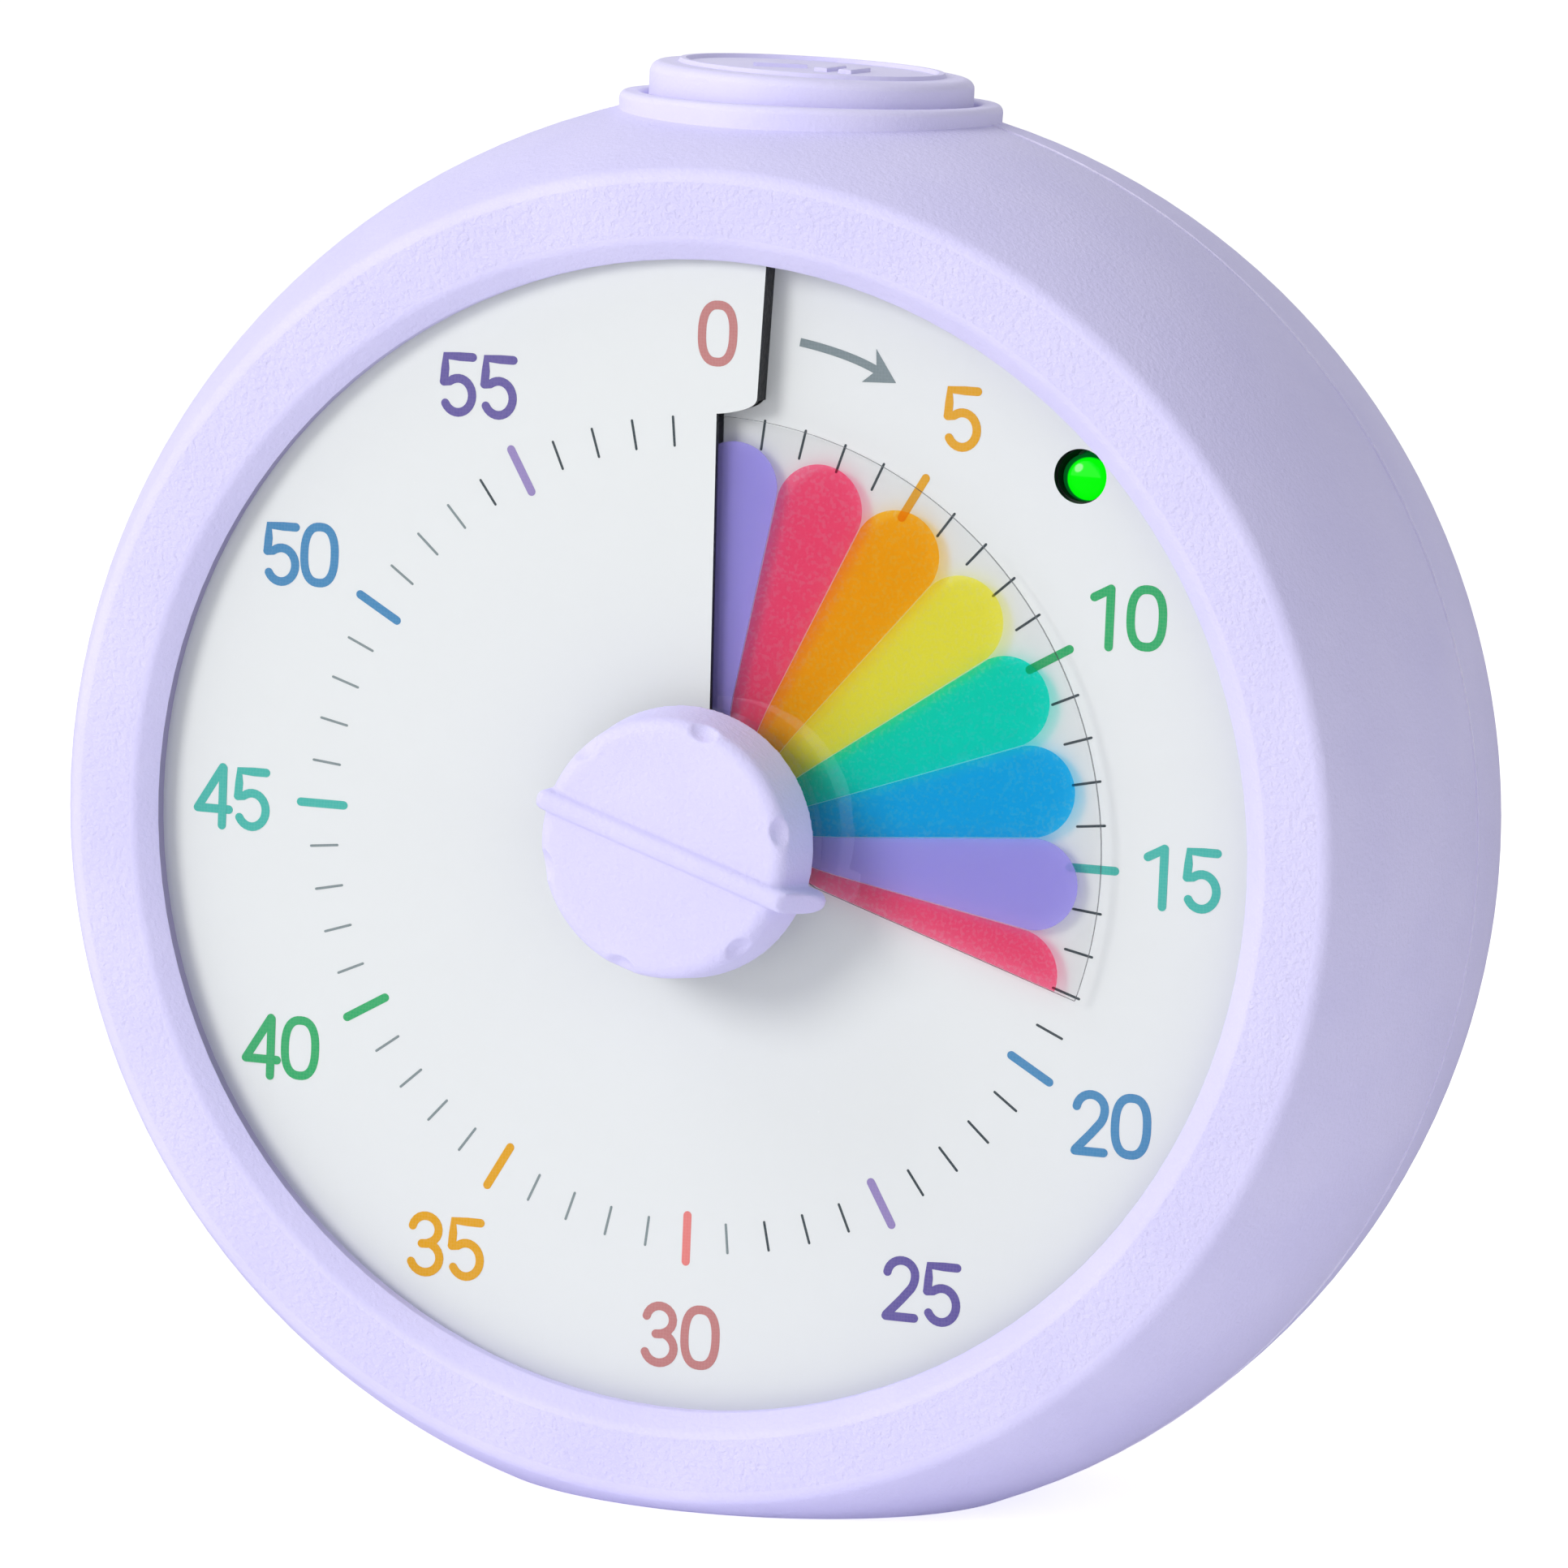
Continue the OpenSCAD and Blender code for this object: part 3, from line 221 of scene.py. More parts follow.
def lip_wall_shade(name, body_hex, shade_hex):
    """Wall of the lip, painted darker as painted shade: it darkens softly towards the left, where the painted
    shade is deepest.
    """
    made, tree, at = start(name)
    spot = add(tree, "SeparateXYZ", {"Vector": at})
    shade_share = add(tree, "MapRange", {
        "Value": spot.outputs["X"], "From Min": LIP_SHADE_FADE[0] * MM, "From Max": LIP_SHADE_FADE[1] * MM,
        "To Min": 1.0, "To Max": 0.0,
    }, interpolation_type="SMOOTHSTEP")
    base = add(tree, "Mix", {
        0: shade_share.outputs["Result"], 6: linear(body_hex), 7: linear(shade_hex),
    }, data_type="RGBA")
    haze = add(tree, "TexNoise", {"Vector": at, "Scale": 1 / (0.5 * MM), "Detail": 2.0})
    rough = add(tree, "MapRange", {"Value": haze.outputs["Fac"], "To Min": 0.6, "To Max": 0.8})
    shader = add(tree, "BsdfPrincipled", {
        "Base Color": base.outputs[2], "Roughness": rough.outputs["Result"], "IOR": 1.53,
        "Specular IOR Level": 0.35,
    })
    return close(made, tree, shader)


def satin_sheet(name, code):
    """Calendered polypropylene sheet: smooth, slightly wavy, with a low satin gloss."""
    made, tree, at = start(name)
    wave = add(tree, "TexNoise", {"Vector": at, "Scale": 1 / (8 * MM), "Detail": 1.0})
    haze = add(tree, "TexNoise", {"Vector": at, "Scale": 1 / (0.5 * MM), "Detail": 2.0})
    rough = add(tree, "MapRange", {"Value": haze.outputs["Fac"], "To Min": 0.16, "To Max": 0.3})
    bump = add(tree, "Bump", {"Height": wave.outputs["Fac"], "Strength": 0.2, "Distance": 0.02 * MM})
    shader = add(tree, "BsdfPrincipled", {
        "Base Color": linear(code), "Roughness": rough.outputs["Result"], "IOR": 1.49,
        "Normal": bump.outputs["Normal"],
    })
    return close(made, tree, shader)


def screen_ink(name, code):
    """Screen-printed ink: a satin coat, broken up by the dots of the screen."""
    made, tree, at = start(name)
    # The dots stand about 0.24 mm apart
    screen = add(tree, "TexVoronoi", {"Vector": at, "Scale": 1 / (0.24 * MM), "Randomness": 0.25})
    share = add(tree, "MapRange", {
        "Value": screen.outputs["Distance"], "From Min": 0.25, "From Max": 0.7, "To Min": 0.0, "To Max": 0.04,
    })
    base = add(tree, "Mix", {
        0: share.outputs["Result"], 6: linear(code), 7: linear("#F2F4F6"),
    }, data_type="RGBA")
    shader = add(tree, "BsdfPrincipled", {
        "Base Color": base.outputs[2], "Roughness": 0.42, "IOR": 1.5, "Specular IOR Level": 0.2,
    })
    return close(made, tree, shader)


def film_ink(name, code, before, cover):
    """Clear ink on the back of the film: a stippled filter, with painted tinted light along one side from its
    neighbour.
    """
    made, tree, at = start(name)
    spot = add(tree, "SeparateXYZ", {"Vector": at})
    level = add(tree, "Math", {0: spot.outputs["Z"], 1: AXIS_H * MM}, operation="SUBTRACT")
    turn = add(tree, "Math", {0: spot.outputs["X"], 1: level.outputs[0]}, operation="ARCTAN2")
    # The phase runs from 0 to 1 over each petal, and the 24 of a whole turn keep it positive
    phase = add(tree, "Math", {
        0: turn.outputs[0], 1: 180 / (math.pi * PETAL_PITCH), 2: 24 - PETAL_EDGE / PETAL_PITCH,
    }, operation="MULTIPLY_ADD")
    part = add(tree, "Math", {0: phase.outputs[0]}, operation="FRACT")
    side = add(tree, "MapRange", {
        "Value": part.outputs[0], "From Min": 0.0, "From Max": 0.12, "To Min": 0.35, "To Max": 0.0,
    }, interpolation_type="SMOOTHSTEP")
    # Painted light: light that came in through the petal beside it and leaves through this one carries both
    # tints
    both = tuple(math.sqrt(one * two) for one, two in zip(tint(code), tint(before)))
    tinged = add(tree, "Mix", {0: side.outputs["Result"], 6: tint(code), 7: both}, data_type="RGBA")
    # The stipple is about 0.2 mm; it is drawn at 0.3 mm so that the render can show it
    stipple = add(tree, "TexNoise", {"Vector": at, "Scale": 1 / (0.3 * MM), "Detail": 1.0})
    dot = add(tree, "MapRange", {
        "Value": stipple.outputs["Fac"], "From Min": 0.48, "From Max": 0.66, "To Min": 0.0, "To Max": 0.3,
    })
    base = add(tree, "Mix", {
        0: dot.outputs["Result"], 6: tinged.outputs[2], 7: (1, 1, 1, 1),
    }, data_type="RGBA")
    filter_node = add(tree, "BsdfTransparent", {"Color": base.outputs[2]})
    body = add(tree, "BsdfPrincipled", {
        "Base Color": linear(code), "Roughness": 0.5, "Specular IOR Level": 0.0,
    })
    mixed = add(tree, "MixShader", {0: cover, 1: filter_node.outputs[0], 2: body.outputs[0]})
    return close(made, tree, mixed)


def tint(code):
    """Colour that one face of an ink lets through, so that light that passes four times shows the code.

    The strongest channels come out a little over one, so these inks give back more light than reaches them:
    painted light.
    """
    return tuple((part / DIAL_WHITE) ** 0.25 for part in linear(code)[:3]) + (1.0,)


def clear_sheet(name, code, roughness):
    """Clear polyester: it lets the print show, and mirrors the knob in its gloss faces with fine scuffs."""
    made, tree, at = start(name)
    scuff = add(tree, "TexNoise", {"Vector": at, "Scale": 1 / (1.5 * MM), "Detail": 4.0})
    rough = add(tree, "MapRange", {
        "Value": scuff.outputs["Fac"], "To Min": roughness * 0.6, "To Max": roughness * 1.4,
    })
    # Only the outer side mirrors, so its index stands for both faces of the sheet
    edge = add(tree, "Fresnel", {"IOR": 1.75})
    side = add(tree, "NewGeometry").outputs["Backfacing"]
    outer = add(tree, "Math", {0: 1.0, 1: side}, operation="SUBTRACT")
    share = add(tree, "Math", {0: edge.outputs[0], 1: outer.outputs[0]}, operation="MULTIPLY")
    clear = add(tree, "BsdfTransparent", {"Color": linear(code)})
    gloss = add(tree, "BsdfGlossy", {"Color": (1, 1, 1, 1), "Roughness": rough.outputs["Result"]})
    mixed = add(tree, "MixShader", {0: share.outputs[0], 1: clear.outputs[0], 2: gloss.outputs[0]})
    return close(made, tree, mixed)


def cut_edge(name, code):
    """Knife-cut edge of clear film: it gathers little light, so it reads as a thin grey line."""
    made, tree, at = start(name)
    nick = add(tree, "TexNoise", {"Vector": at, "Scale": 1 / (0.8 * MM), "Detail": 2.0})
    rough = add(tree, "MapRange", {"Value": nick.outputs["Fac"], "To Min": 0.3, "To Max": 0.6})
    shader = add(tree, "BsdfPrincipled", {
        "Base Color": linear(code), "Roughness": rough.outputs["Result"], "Alpha": 0.75,
    })
    return close(made, tree, shader)


def plain_metal(name, code, roughness, line):
    """Plated or turned metal: fine lines of the last tool and a slight haze."""
    made, tree, at = start(name)
    stretch = add(tree, "Mapping", {"Vector": at, "Scale": (1.0, 0.08, 1.0)})
    lines = add(tree, "TexNoise", {
        "Vector": stretch.outputs["Vector"], "Scale": 1 / (line * MM), "Detail": 2.0,
    })
    rough = add(tree, "MapRange", {
        "Value": lines.outputs["Fac"], "To Min": roughness - 0.08, "To Max": roughness + 0.1,
    })
    bump = add(tree, "Bump", {"Height": lines.outputs["Fac"], "Strength": 0.2, "Distance": 0.01 * MM})
    shader = add(tree, "BsdfPrincipled", {
        "Base Color": linear(code), "Metallic": 1.0, "Roughness": rough.outputs["Result"],
        "Normal": bump.outputs["Normal"],
    })
    return close(made, tree, shader)


def lit_epoxy(name):
    """Diffused epoxy of a lamp that is on: an even bright disc under a glossy dome."""
    made, tree, at = start(name)
    cloud = add(tree, "TexNoise", {"Vector": at, "Scale": 1 / (0.6 * MM), "Detail": 1.0})
    rough = add(tree, "MapRange", {"Value": cloud.outputs["Fac"], "To Min": 0.06, "To Max": 0.14})
    # One side of the lens is painted dark green, a painted shade: the glowing disc is set off the lens's
    # middle
    middle = LENS_AT + Vector((*GLOW_SHIFT, 0))
    beam = add(tree, "Mapping", {
        "Vector": at, "Location": (-middle.x * MM, 0, -(middle.y + AXIS_H) * MM),
    })
    flat = add(tree, "VectorMath", {0: beam.outputs["Vector"], 1: (1, 0, 1)}, operation="MULTIPLY")
    reach = add(tree, "VectorMath", {0: flat.outputs["Vector"]}, operation="LENGTH")
    glow = add(tree, "MapRange", {
        "Value": reach.outputs["Value"], "From Min": GLOW_R[0] * MM, "From Max": GLOW_R[1] * MM,
        "To Min": 0.0, "To Max": 1.0,
    })
    colour = add(tree, "Mix", {
        0: glow.outputs["Result"], 6: linear("#00FF04"), 7: linear("#00581C"),
    }, data_type="RGBA")
    shader = add(tree, "BsdfPrincipled", {
        "Base Color": linear("#063808"), "Roughness": rough.outputs["Result"], "IOR": 1.55,
        "Specular IOR Level": 0.3, "Emission Color": colour.outputs[2], "Emission Strength": 0.95,
    })
    return close(made, tree, shader)


def solder_mask(name):
    """Glass-fibre board under green solder mask, with paler tracks."""
    made, tree, at = start(name)
    tracks = add(tree, "TexBrick", {
        "Vector": at, "Scale": 1 / (12 * MM), "Mortar Size": 0.04, "Color1": linear("#1E6B43"),
        "Color2": linear("#226F48"), "Mortar": linear("#3C9462"),
    })
    shader = add(tree, "BsdfPrincipled", {
        "Base Color": tracks.outputs["Color"], "Roughness": 0.35, "IOR": 1.55,
    })
    return close(made, tree, shader)


def cell_jacket(name):
    """Shrink sleeve on a dry cell: dark, with a coloured band, and bare nickel ends."""
    made, tree, at = start(name)
    spot = add(tree, "SeparateXYZ", {"Vector": at})
    face = add(tree, "SeparateXYZ", {"Vector": add(tree, "TexCoord").outputs["Normal"]})
    end = add(tree, "Math", {0: face.outputs["X"]}, operation="ABSOLUTE")
    bare = add(tree, "Math", {0: end.outputs[0], 1: 0.7}, operation="GREATER_THAN")
    print_line = add(tree, "TexNoise", {"Vector": at, "Scale": 1 / (2 * MM), "Detail": 2.0})
    band = add(tree, "Math", {0: spot.outputs["X"], 1: 12 * MM}, operation="GREATER_THAN")
    sleeve = add(tree, "Mix", {
        0: band.outputs[0], 6: linear("#3A3E46"), 7: linear("#B98A3E"),
    }, data_type="RGBA")
    base = add(tree, "Mix", {
        0: bare.outputs[0], 6: sleeve.outputs[2], 7: linear("#C9CCD0"),
    }, data_type="RGBA")
    rough = add(tree, "MapRange", {"Value": print_line.outputs["Fac"], "To Min": 0.2, "To Max": 0.34})
    shader = add(tree, "BsdfPrincipled", {
        "Base Color": base.outputs[2], "Metallic": bare.outputs[0], "Roughness": rough.outputs["Result"],
    })
    return close(made, tree, shader)


# How much of the light comes back from the dial under the film
DIAL_WHITE = 0.72
# Petals of the film, clockwise from the one that lies in the slit: colour and how much the ink covers
PETALS = (
    ("purple", "#B4ABF6", 0.4),
    ("crimson", "#FA4C76", 0.1),
    ("orange", "#FCA80C", 0.1),
    ("yellow", "#F2EA44", 0.1),
    ("mint", "#04DCC0", 0.1),
    ("blue", "#10AEEE", 0.1),
)
INKS = {
    "coral": "#BA7C7C",
    "rose": "#DE7E7C",
    "amber": "#D89C10",
    "green": "#2EA566",
    "teal": "#46B0A6",
    "blue": "#4484B4",
    "violet": "#60559A",
    "lilac": "#9080B8",
    "slate": "#3A454C",
    "mist": "#7F8C90",
    "grey": "#7A888E",
}

LAVENDER = moulded_abs("ABS lavender, spark-eroded grain", "#D6D2FC", "#DAD6FE", 0.58)
# The bezel's flat has a coarser grain and is painted a shade darker than the case: painted shade
BEZEL = moulded_abs("ABS lavender, coarse spark grain and painted shade", "#D3CFF8", "#D7D3FA", 0.6, 0.5, 0.28)
CAP = moulded_abs("ABS lavender, fine spark grain", "#DDD9FF", "#E0DCFF", 0.55, 0.38, 0.06)
LIP_SHADE = lip_wall_shade("ABS lavender, lip wall in painted shade", "#D6D2FC", "#8F8AAE")
# A pale lavender for the rim at the parting line: a painted highlight
SEAM_HIGHLIGHT = moulded_abs("ABS lavender, painted seam highlight", "#EAE6FF", "#F0EDFF", 0.5)
BLACK = moulded_abs("ABS black, satin", "#101114", "#15161A", 0.5)
GREY = moulded_abs("ABS grey, satin", "#B9BDC4", "#C2C6CC", 0.45)
ACETAL = moulded_abs("acetal natural, moulded", "#EFEADB", "#F4F0E4", 0.32, 0.6, 0.004)
SHEET = satin_sheet("polypropylene sheet, satin white", "#E0E4E7")
CLEAR = clear_sheet("polyester film, clear gloss", "#FFFFFF", 0.05)
CUT = cut_edge("polyester film, cut edge", "#4A5056")
# The dial's cut edges, at the slit and round the lamp's hole, are painted near black: painted shade
SLIT_EDGE_SHADE = moulded_abs("polypropylene sheet, cut edge in painted shade", "#0C1118", "#10151C", 0.5)
WASHER = clear_sheet("polycarbonate, clear", "#F6F6F8", 0.1)
STEEL = plain_metal("steel, nickel plated", "#C4C7CB", 0.28, 0.3)
BRASS = plain_metal("brass, turned", "#C9A24E", 0.26, 0.2)
LAMP = lit_epoxy("epoxy green, diffused and lit")
BOARD = solder_mask("glass-fibre board, green mask")
CELL = cell_jacket("dry cell, shrink sleeve")
INK = {key: screen_ink("screen ink " + key, code) for key, code in INKS.items()}
PETAL_INK = [
    film_ink("film ink " + key, code, PETALS[i - 1][1], cover)
    for i, (key, code, cover) in enumerate(PETALS)
]


# Pieces

def ramp_z(clock):
    """Level of the dial's spiral at a clock angle in degrees."""
    return DIAL_Z + DIAL_RISE * clock / 360


def clock_of(x, y, near):
    """Clock angle of a point, on the turn that is nearest to a known angle."""
    turn = math.degrees(math.atan2(x, y))
    return near + (turn - near + 180) % 360 - 180


def mesh_object(name, bm):
    """A new object in the scene that holds a mesh."""
    mesh = bpy.data.meshes.new(name)
    bm.to_mesh(mesh)
    bm.free()
    made = bpy.data.objects.new(name, mesh)
    bpy.context.scene.collection.objects.link(made)
    return made


def shade(mesh, crease):
    """Shades a mesh smoothly up to an edge angle in degrees."""
    mesh.polygons.foreach_set("use_smooth", [True] * len(mesh.polygons))
    mesh.set_sharp_from_angle(angle=math.radians(crease))


def piece(name, bm, body, finishes, stands_for=(), crease=32):
    """Makes a mesh a piece of the object, smooth up to an edge angle, that rides on a body."""
    made = mesh_object(name, bm)
    # Normals that came with a node would hide the new shading
    stored = made.data.attributes.get("custom_normal")
    if stored:
        made.data.attributes.remove(stored)
    for finish in finishes:
        made.data.materials.append(finish)
    shade(made.data, crease)
    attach(made, body)
    if stands_for:
        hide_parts(*stands_for)
    return made


def thicken(made, thick):
    """Gives a sheet its thickness towards the back; its cut edges take the second finish."""
    wall = made.modifiers.new("Thickness", "SOLIDIFY")
    wall.thickness = thick * MM
    wall.offset = -1
    wall.material_offset_rim = 1


def settle(made, crease=32):
    """Turns a piece's modifiers into its own mesh."""
    bpy.context.view_layer.update()
    seen = made.evaluated_get(bpy.context.evaluated_depsgraph_get())
    mesh = bpy.data.meshes.new_from_object(seen)
    mesh.name = made.name
    made.modifiers.clear()
    made.data = mesh
    shade(mesh, crease)


def joined(node):
    """A copy of a node's mesh with its corners joined."""
    bm = bmesh.new()
    bm.from_mesh(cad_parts[node].data)
    bmesh.ops.remove_doubles(bm, verts=bm.verts, dist=0.002 * MM)
    for face in bm.faces:
        face.material_index = 0
    return bm


def smooth_copy(node, name, body, finish, crease=24):
    """A copy of a node that shades smoothly over its rounds."""
    return piece(name, joined(node), body, [finish], [node], crease)


def on_ring(vert, ring_r, ring_z):
    """Whether a vertex lies on a ring round the dial's axis, at a radius and a level."""
    r = math.hypot(vert.co.x, vert.co.z - AXIS_H * MM) / MM
    z = PARTING_Y - vert.co.y / MM
    return abs(r - ring_r) < RING_NEAR and abs(z - ring_z) < RING_NEAR


def front_case():
    """The front of the case, with the soft creases that the tool leaves round the dial's opening."""
    bm = joined("front_case")
    for ring_r, ring_z, offset in BEZEL_RINGS:
        ring = [e for e in bm.edges if all(on_ring(v, ring_r, ring_z) for v in e.verts)]
        bmesh.ops.bevel(
            bm, geom=ring, offset=offset * MM, segments=6, profile=0.5, affect="EDGES", material=-1,
        )
    bmesh.ops.recalc_face_normals(bm, faces=bm.faces)
    for face in bm.faces:
        # The flat that faces the user has the coarser grain and is painted a shade darker, and the lip's wall
        # is painted in shade
        spot = face.calc_center_median()
        out = Vector((spot.x, 0, spot.z - AXIS_H * MM))
        at_lip = abs(out.length / MM - LIP_R) < LIP_SPAN and PARTING_Y - spot.y / MM > LIP_BACK_Z
        if face.normal.y < -FLAT_COS and spot.y < BEZEL_Y * MM:
            face.material_index = 1
        elif at_lip and face.normal.dot(out.normalized()) < -WALL_COS:
            face.material_index = 2
    finishes = [LAVENDER, BEZEL, LIP_SHADE]
    return piece("front_moulding", bm, "case", finishes, ["front_case"], 24)


def lean(verts):
    """Leans the cap's top a little to the right, as it sits loosely in its collar."""
    for vert in verts:
        h = vert.co.z / MM - AXIS_H
        share = min(1.0, max(0.0, (h - CAP_LOW_H) / (CAP_TOP_H - CAP_LOW_H)))
        vert.co.z -= (vert.co.x * math.tan(math.radians(CAP_LEAN)) + CAP_SINK * MM) * share


def cap():
    """The top button's cap."""
    bm = joined("top_button")
    lean(bm.verts)
    return piece("button_moulding", bm, "button", [CAP], ["top_button"], 24)


def collar():
    """The button's collar, whose rim stands a little higher and wider."""
    bm = joined("button_collar")
    wider, higher = COLLAR_GROW
    for vert in bm.verts:
        h = vert.co.z / MM - AXIS_H
        share = min(1.0, max(0.0, (h - COLLAR_SEAT_H) / (COLLAR_TOP_H - COLLAR_SEAT_H)))
        flat = Vector((vert.co.x, vert.co.y - PARTING_Y * MM, 0))
        if flat.length > COLLAR_BORE_R * MM:
            vert.co += flat.normalized() * wider * MM * min(1.0, share * COLLAR_STEEP)
        vert.co.z += higher * MM * share
    return piece("collar_moulding", bm, "case", [CAP], ["button_collar"], 24)


def rear_case():
    """The rear of the case, whose rim stands proud of the front half by the tools' mismatch and is painted
    pale as a highlight.
    """
    bm = joined("rear_case")
    for vert in bm.verts:
        flat = Vector((vert.co.x, 0, vert.co.z - AXIS_H * MM))
        if vert.co.z > FOOT_H * MM and on_ring(vert, RIM_R[0], 0):
            vert.co += flat.normalized() * (RIM_R[1] - RIM_R[0]) * MM
            # The rim is painted pale: a painted highlight along the parting line
            for face in vert.link_faces:
                face.material_index = 1
    return piece("rear_moulding", bm, "case", [LAVENDER, SEAM_HIGHLIGHT], ["rear_case"], 24)


def wire(bm, places, closed=False):
    """A line of vertices and edges through points, open or closed."""
    verts = [bm.verts.new(place) for place in places]
    ends = verts[1:] + verts[:1] if closed else verts[1:]
    return verts + [bm.edges.new(pair) for pair in zip(verts, ends)]


def ribbon(bm, stations, thick, index=0):
    """A flat closed strip through stations, each a point, a direction and a half width."""
    ring = None
    up = Vector((0, 0, thick))
    for point, along, half in stations:
        across = Vector((along.y, -along.x, 0)).normalized()
        inner = max(half - thick / 2, half * 0.6)
        places = (
            point - across * half - up, point - across * inner + up,
            point + across * inner + up, point + across * half - up,
        )
        if ring is None:
            loop = wire(bm, places, True)
            first = verts = loop[:4]
            ring = loop[4:]
            continue
        made = bmesh.ops.extrude_edge_only(bm, edges=ring)["geom"]
        for face in (g for g in made if isinstance(g, bmesh.types.BMFace)):
            face.material_index = index
        old = verts
        verts = []
        for vert in old:
            step = next(e for e in vert.link_edges if e.other_vert(vert) in made)
            verts.append(step.other_vert(vert))
        for vert, place in zip(verts, places):
            vert.co = place
        edges = [g for g in made if isinstance(g, bmesh.types.BMEdge)]
        ring = [e for e in edges if e.verts[0] in verts and e.verts[1] in verts]
    return first, verts


def stroke(bm, points, width, index, closed=False):
    """A printed line with round ends through flat points."""
    half = width / 2
    n = len(points)
    stations = []
    for i, p in enumerate(points):
        before = points[(i - 1) % n] if closed or i else p
        after = points[(i + 1) % n] if closed or i < n - 1 else p
        stations.append((p, (after - before).normalized(), half))
    if closed:
        stations.append(stations[0])
    else:
        # Each end narrows over part of a circle
        reach = [(half * math.cos(a), half * math.sin(a)) for a in map(math.radians, (10, 30, 50, 70))]
        head, head_way, _ = stations[0]
        tail, tail_way, _ = stations[-1]
        lead = [(head - head_way * far, head_way, side) for far, side in reach]
        trail = [(tail + tail_way * far, tail_way, side) for far, side in reversed(reach)]
        stations = lead + stations + trail
    first, last = ribbon(bm, stations, INK_THICK, index)
    if closed:
        return
    for ends in (first, last):
        bm.faces.new(ends).material_index = index


def on_ramp(verts, near, offset):
    """Lifts flat vertices onto the dial's spiral."""
    for vert in verts:
        vert.co.z += ramp_z(clock_of(vert.co.x, vert.co.y, near)) + offset


def arc(cx, cy, rx, ry, a0, a1, n):
    """Points on part of an ellipse, with angles from the x axis."""
    angles = [math.radians(a0 + (a1 - a0) * i / n) for i in range(n + 1)]
    return [Vector((cx + rx * math.cos(a), cy + ry * math.sin(a), 0)) for a in angles]


def oval(rx, ry, power, n):
    """Points on a squarish oval."""
    places = []
    for i in range(n):
        c, s = math.cos(2 * math.pi * i / n), math.sin(2 * math.pi * i / n)
        places.append(Vector((
            math.copysign(rx * abs(c) ** (2 / power), c), math.copysign(ry * abs(s) ** (2 / power), s), 0,
        )))
    return places


def dots(*pairs):
    """Flat points from pairs of x and y."""
    return [Vector((x, y, 0)) for x, y in pairs]


# Thickness of the ink, the step between lines that cross, and the width of the numerals' pen
INK_THICK = 0.02
INK_LAYER = 0.012
INK_W = 0.66
# Numerals as pen lines: each digit has its lines and whether they close
DIGITS = {
    "0": [(oval(1.22, 2.09, 2.5, 44), True)],
    "1": [(dots((-1.24, 1.26), (-0.62, 1.59), (0.0, 1.93)), False),
          (dots((0.0, 1.93), (0.0, 0.0), (0.0, -2.28)), False)],
    "2": [(arc(0.0, 1.02, 1.08, 1.07, 172, 0, 14) + arc(-0.16, 1.02, 1.24, 1.5, -4, -42, 5)
           + dots((0.1, -0.78), (-1.04, -2.02)), False),
          (dots((-1.06, -2.11), (0.0, -2.11), (1.12, -2.11)), False)],
    "3": [(arc(-0.02, 1.05, 1.05, 1.03, 168, -62, 14) + dots((0.12, 0.0), (-0.28, -0.04)), False),
          (dots((-0.28, -0.04), (0.1, -0.02)) + arc(0.0, -1.07, 1.16, 1.12, 74, -160, 16), False)],
    "4": [(dots((-0.06, 2.06), (-1.02, 0.5), (-1.98, -1.06)), False),
          (dots((-1.98, -1.08), (-0.6, -1.08), (0.52, -1.08)), False),
          (dots((0.0, 2.0), (0.0, 0.0), (0.0, -2.28)), False)],
    "5": [(dots((1.02, 1.92), (0.0, 1.92), (-1.1, 1.92), (-1.13, 1.0), (-1.2, 0.02)), False),
          (dots((-1.2, 0.02)) + arc(-0.06, -0.95, 1.13, 1.26, 126, -150, 22), False)],
}
# Clock angle, ink and the digits with the place of each one's middle
NUMERALS = (
    (360, "coral", (("0", 0.0),)),
    (30, "amber", (("5", 0.0),)),
    (60, "green", (("1", -1.71), ("0", 1.09))),
    (90, "teal", (("1", -1.69), ("5", 1.3))),
    (120, "blue", (("2", -1.4), ("0", 1.73))),
    (150, "violet", (("2", -1.76), ("5", 1.5))),
    (180, "coral", (("3", -1.84), ("0", 1.36))),
    (210, "amber", (("3", -2.07), ("5", 1.25))),
    (240, "green", (("4", -1.4), ("0", 0.96))),
    (270, "teal", (("4", -0.93), ("5", 1.5))),
    (300, "blue", (("5", -1.7), ("0", 1.29))),
    (330, "violet", (("5", -1.62), ("5", 1.6))),
)
NUMERAL_R = 37.1
# Numerals that are printed a little lower, by their clock angle
NUMERAL_DROP = {180: 0.22, 210: 0.2}
# Minute marks: inner radius, outer radius and width, and the short ones that are printed fainter
LONG_MARK = (28.28, 31.72, 0.65)
SHORT_MARK = (28.85, 30.95, 0.2)
MARK_INKS = ("rose", "amber", "green", "teal", "blue", "lilac")
FAINT_MINUTES = range(29, 54)


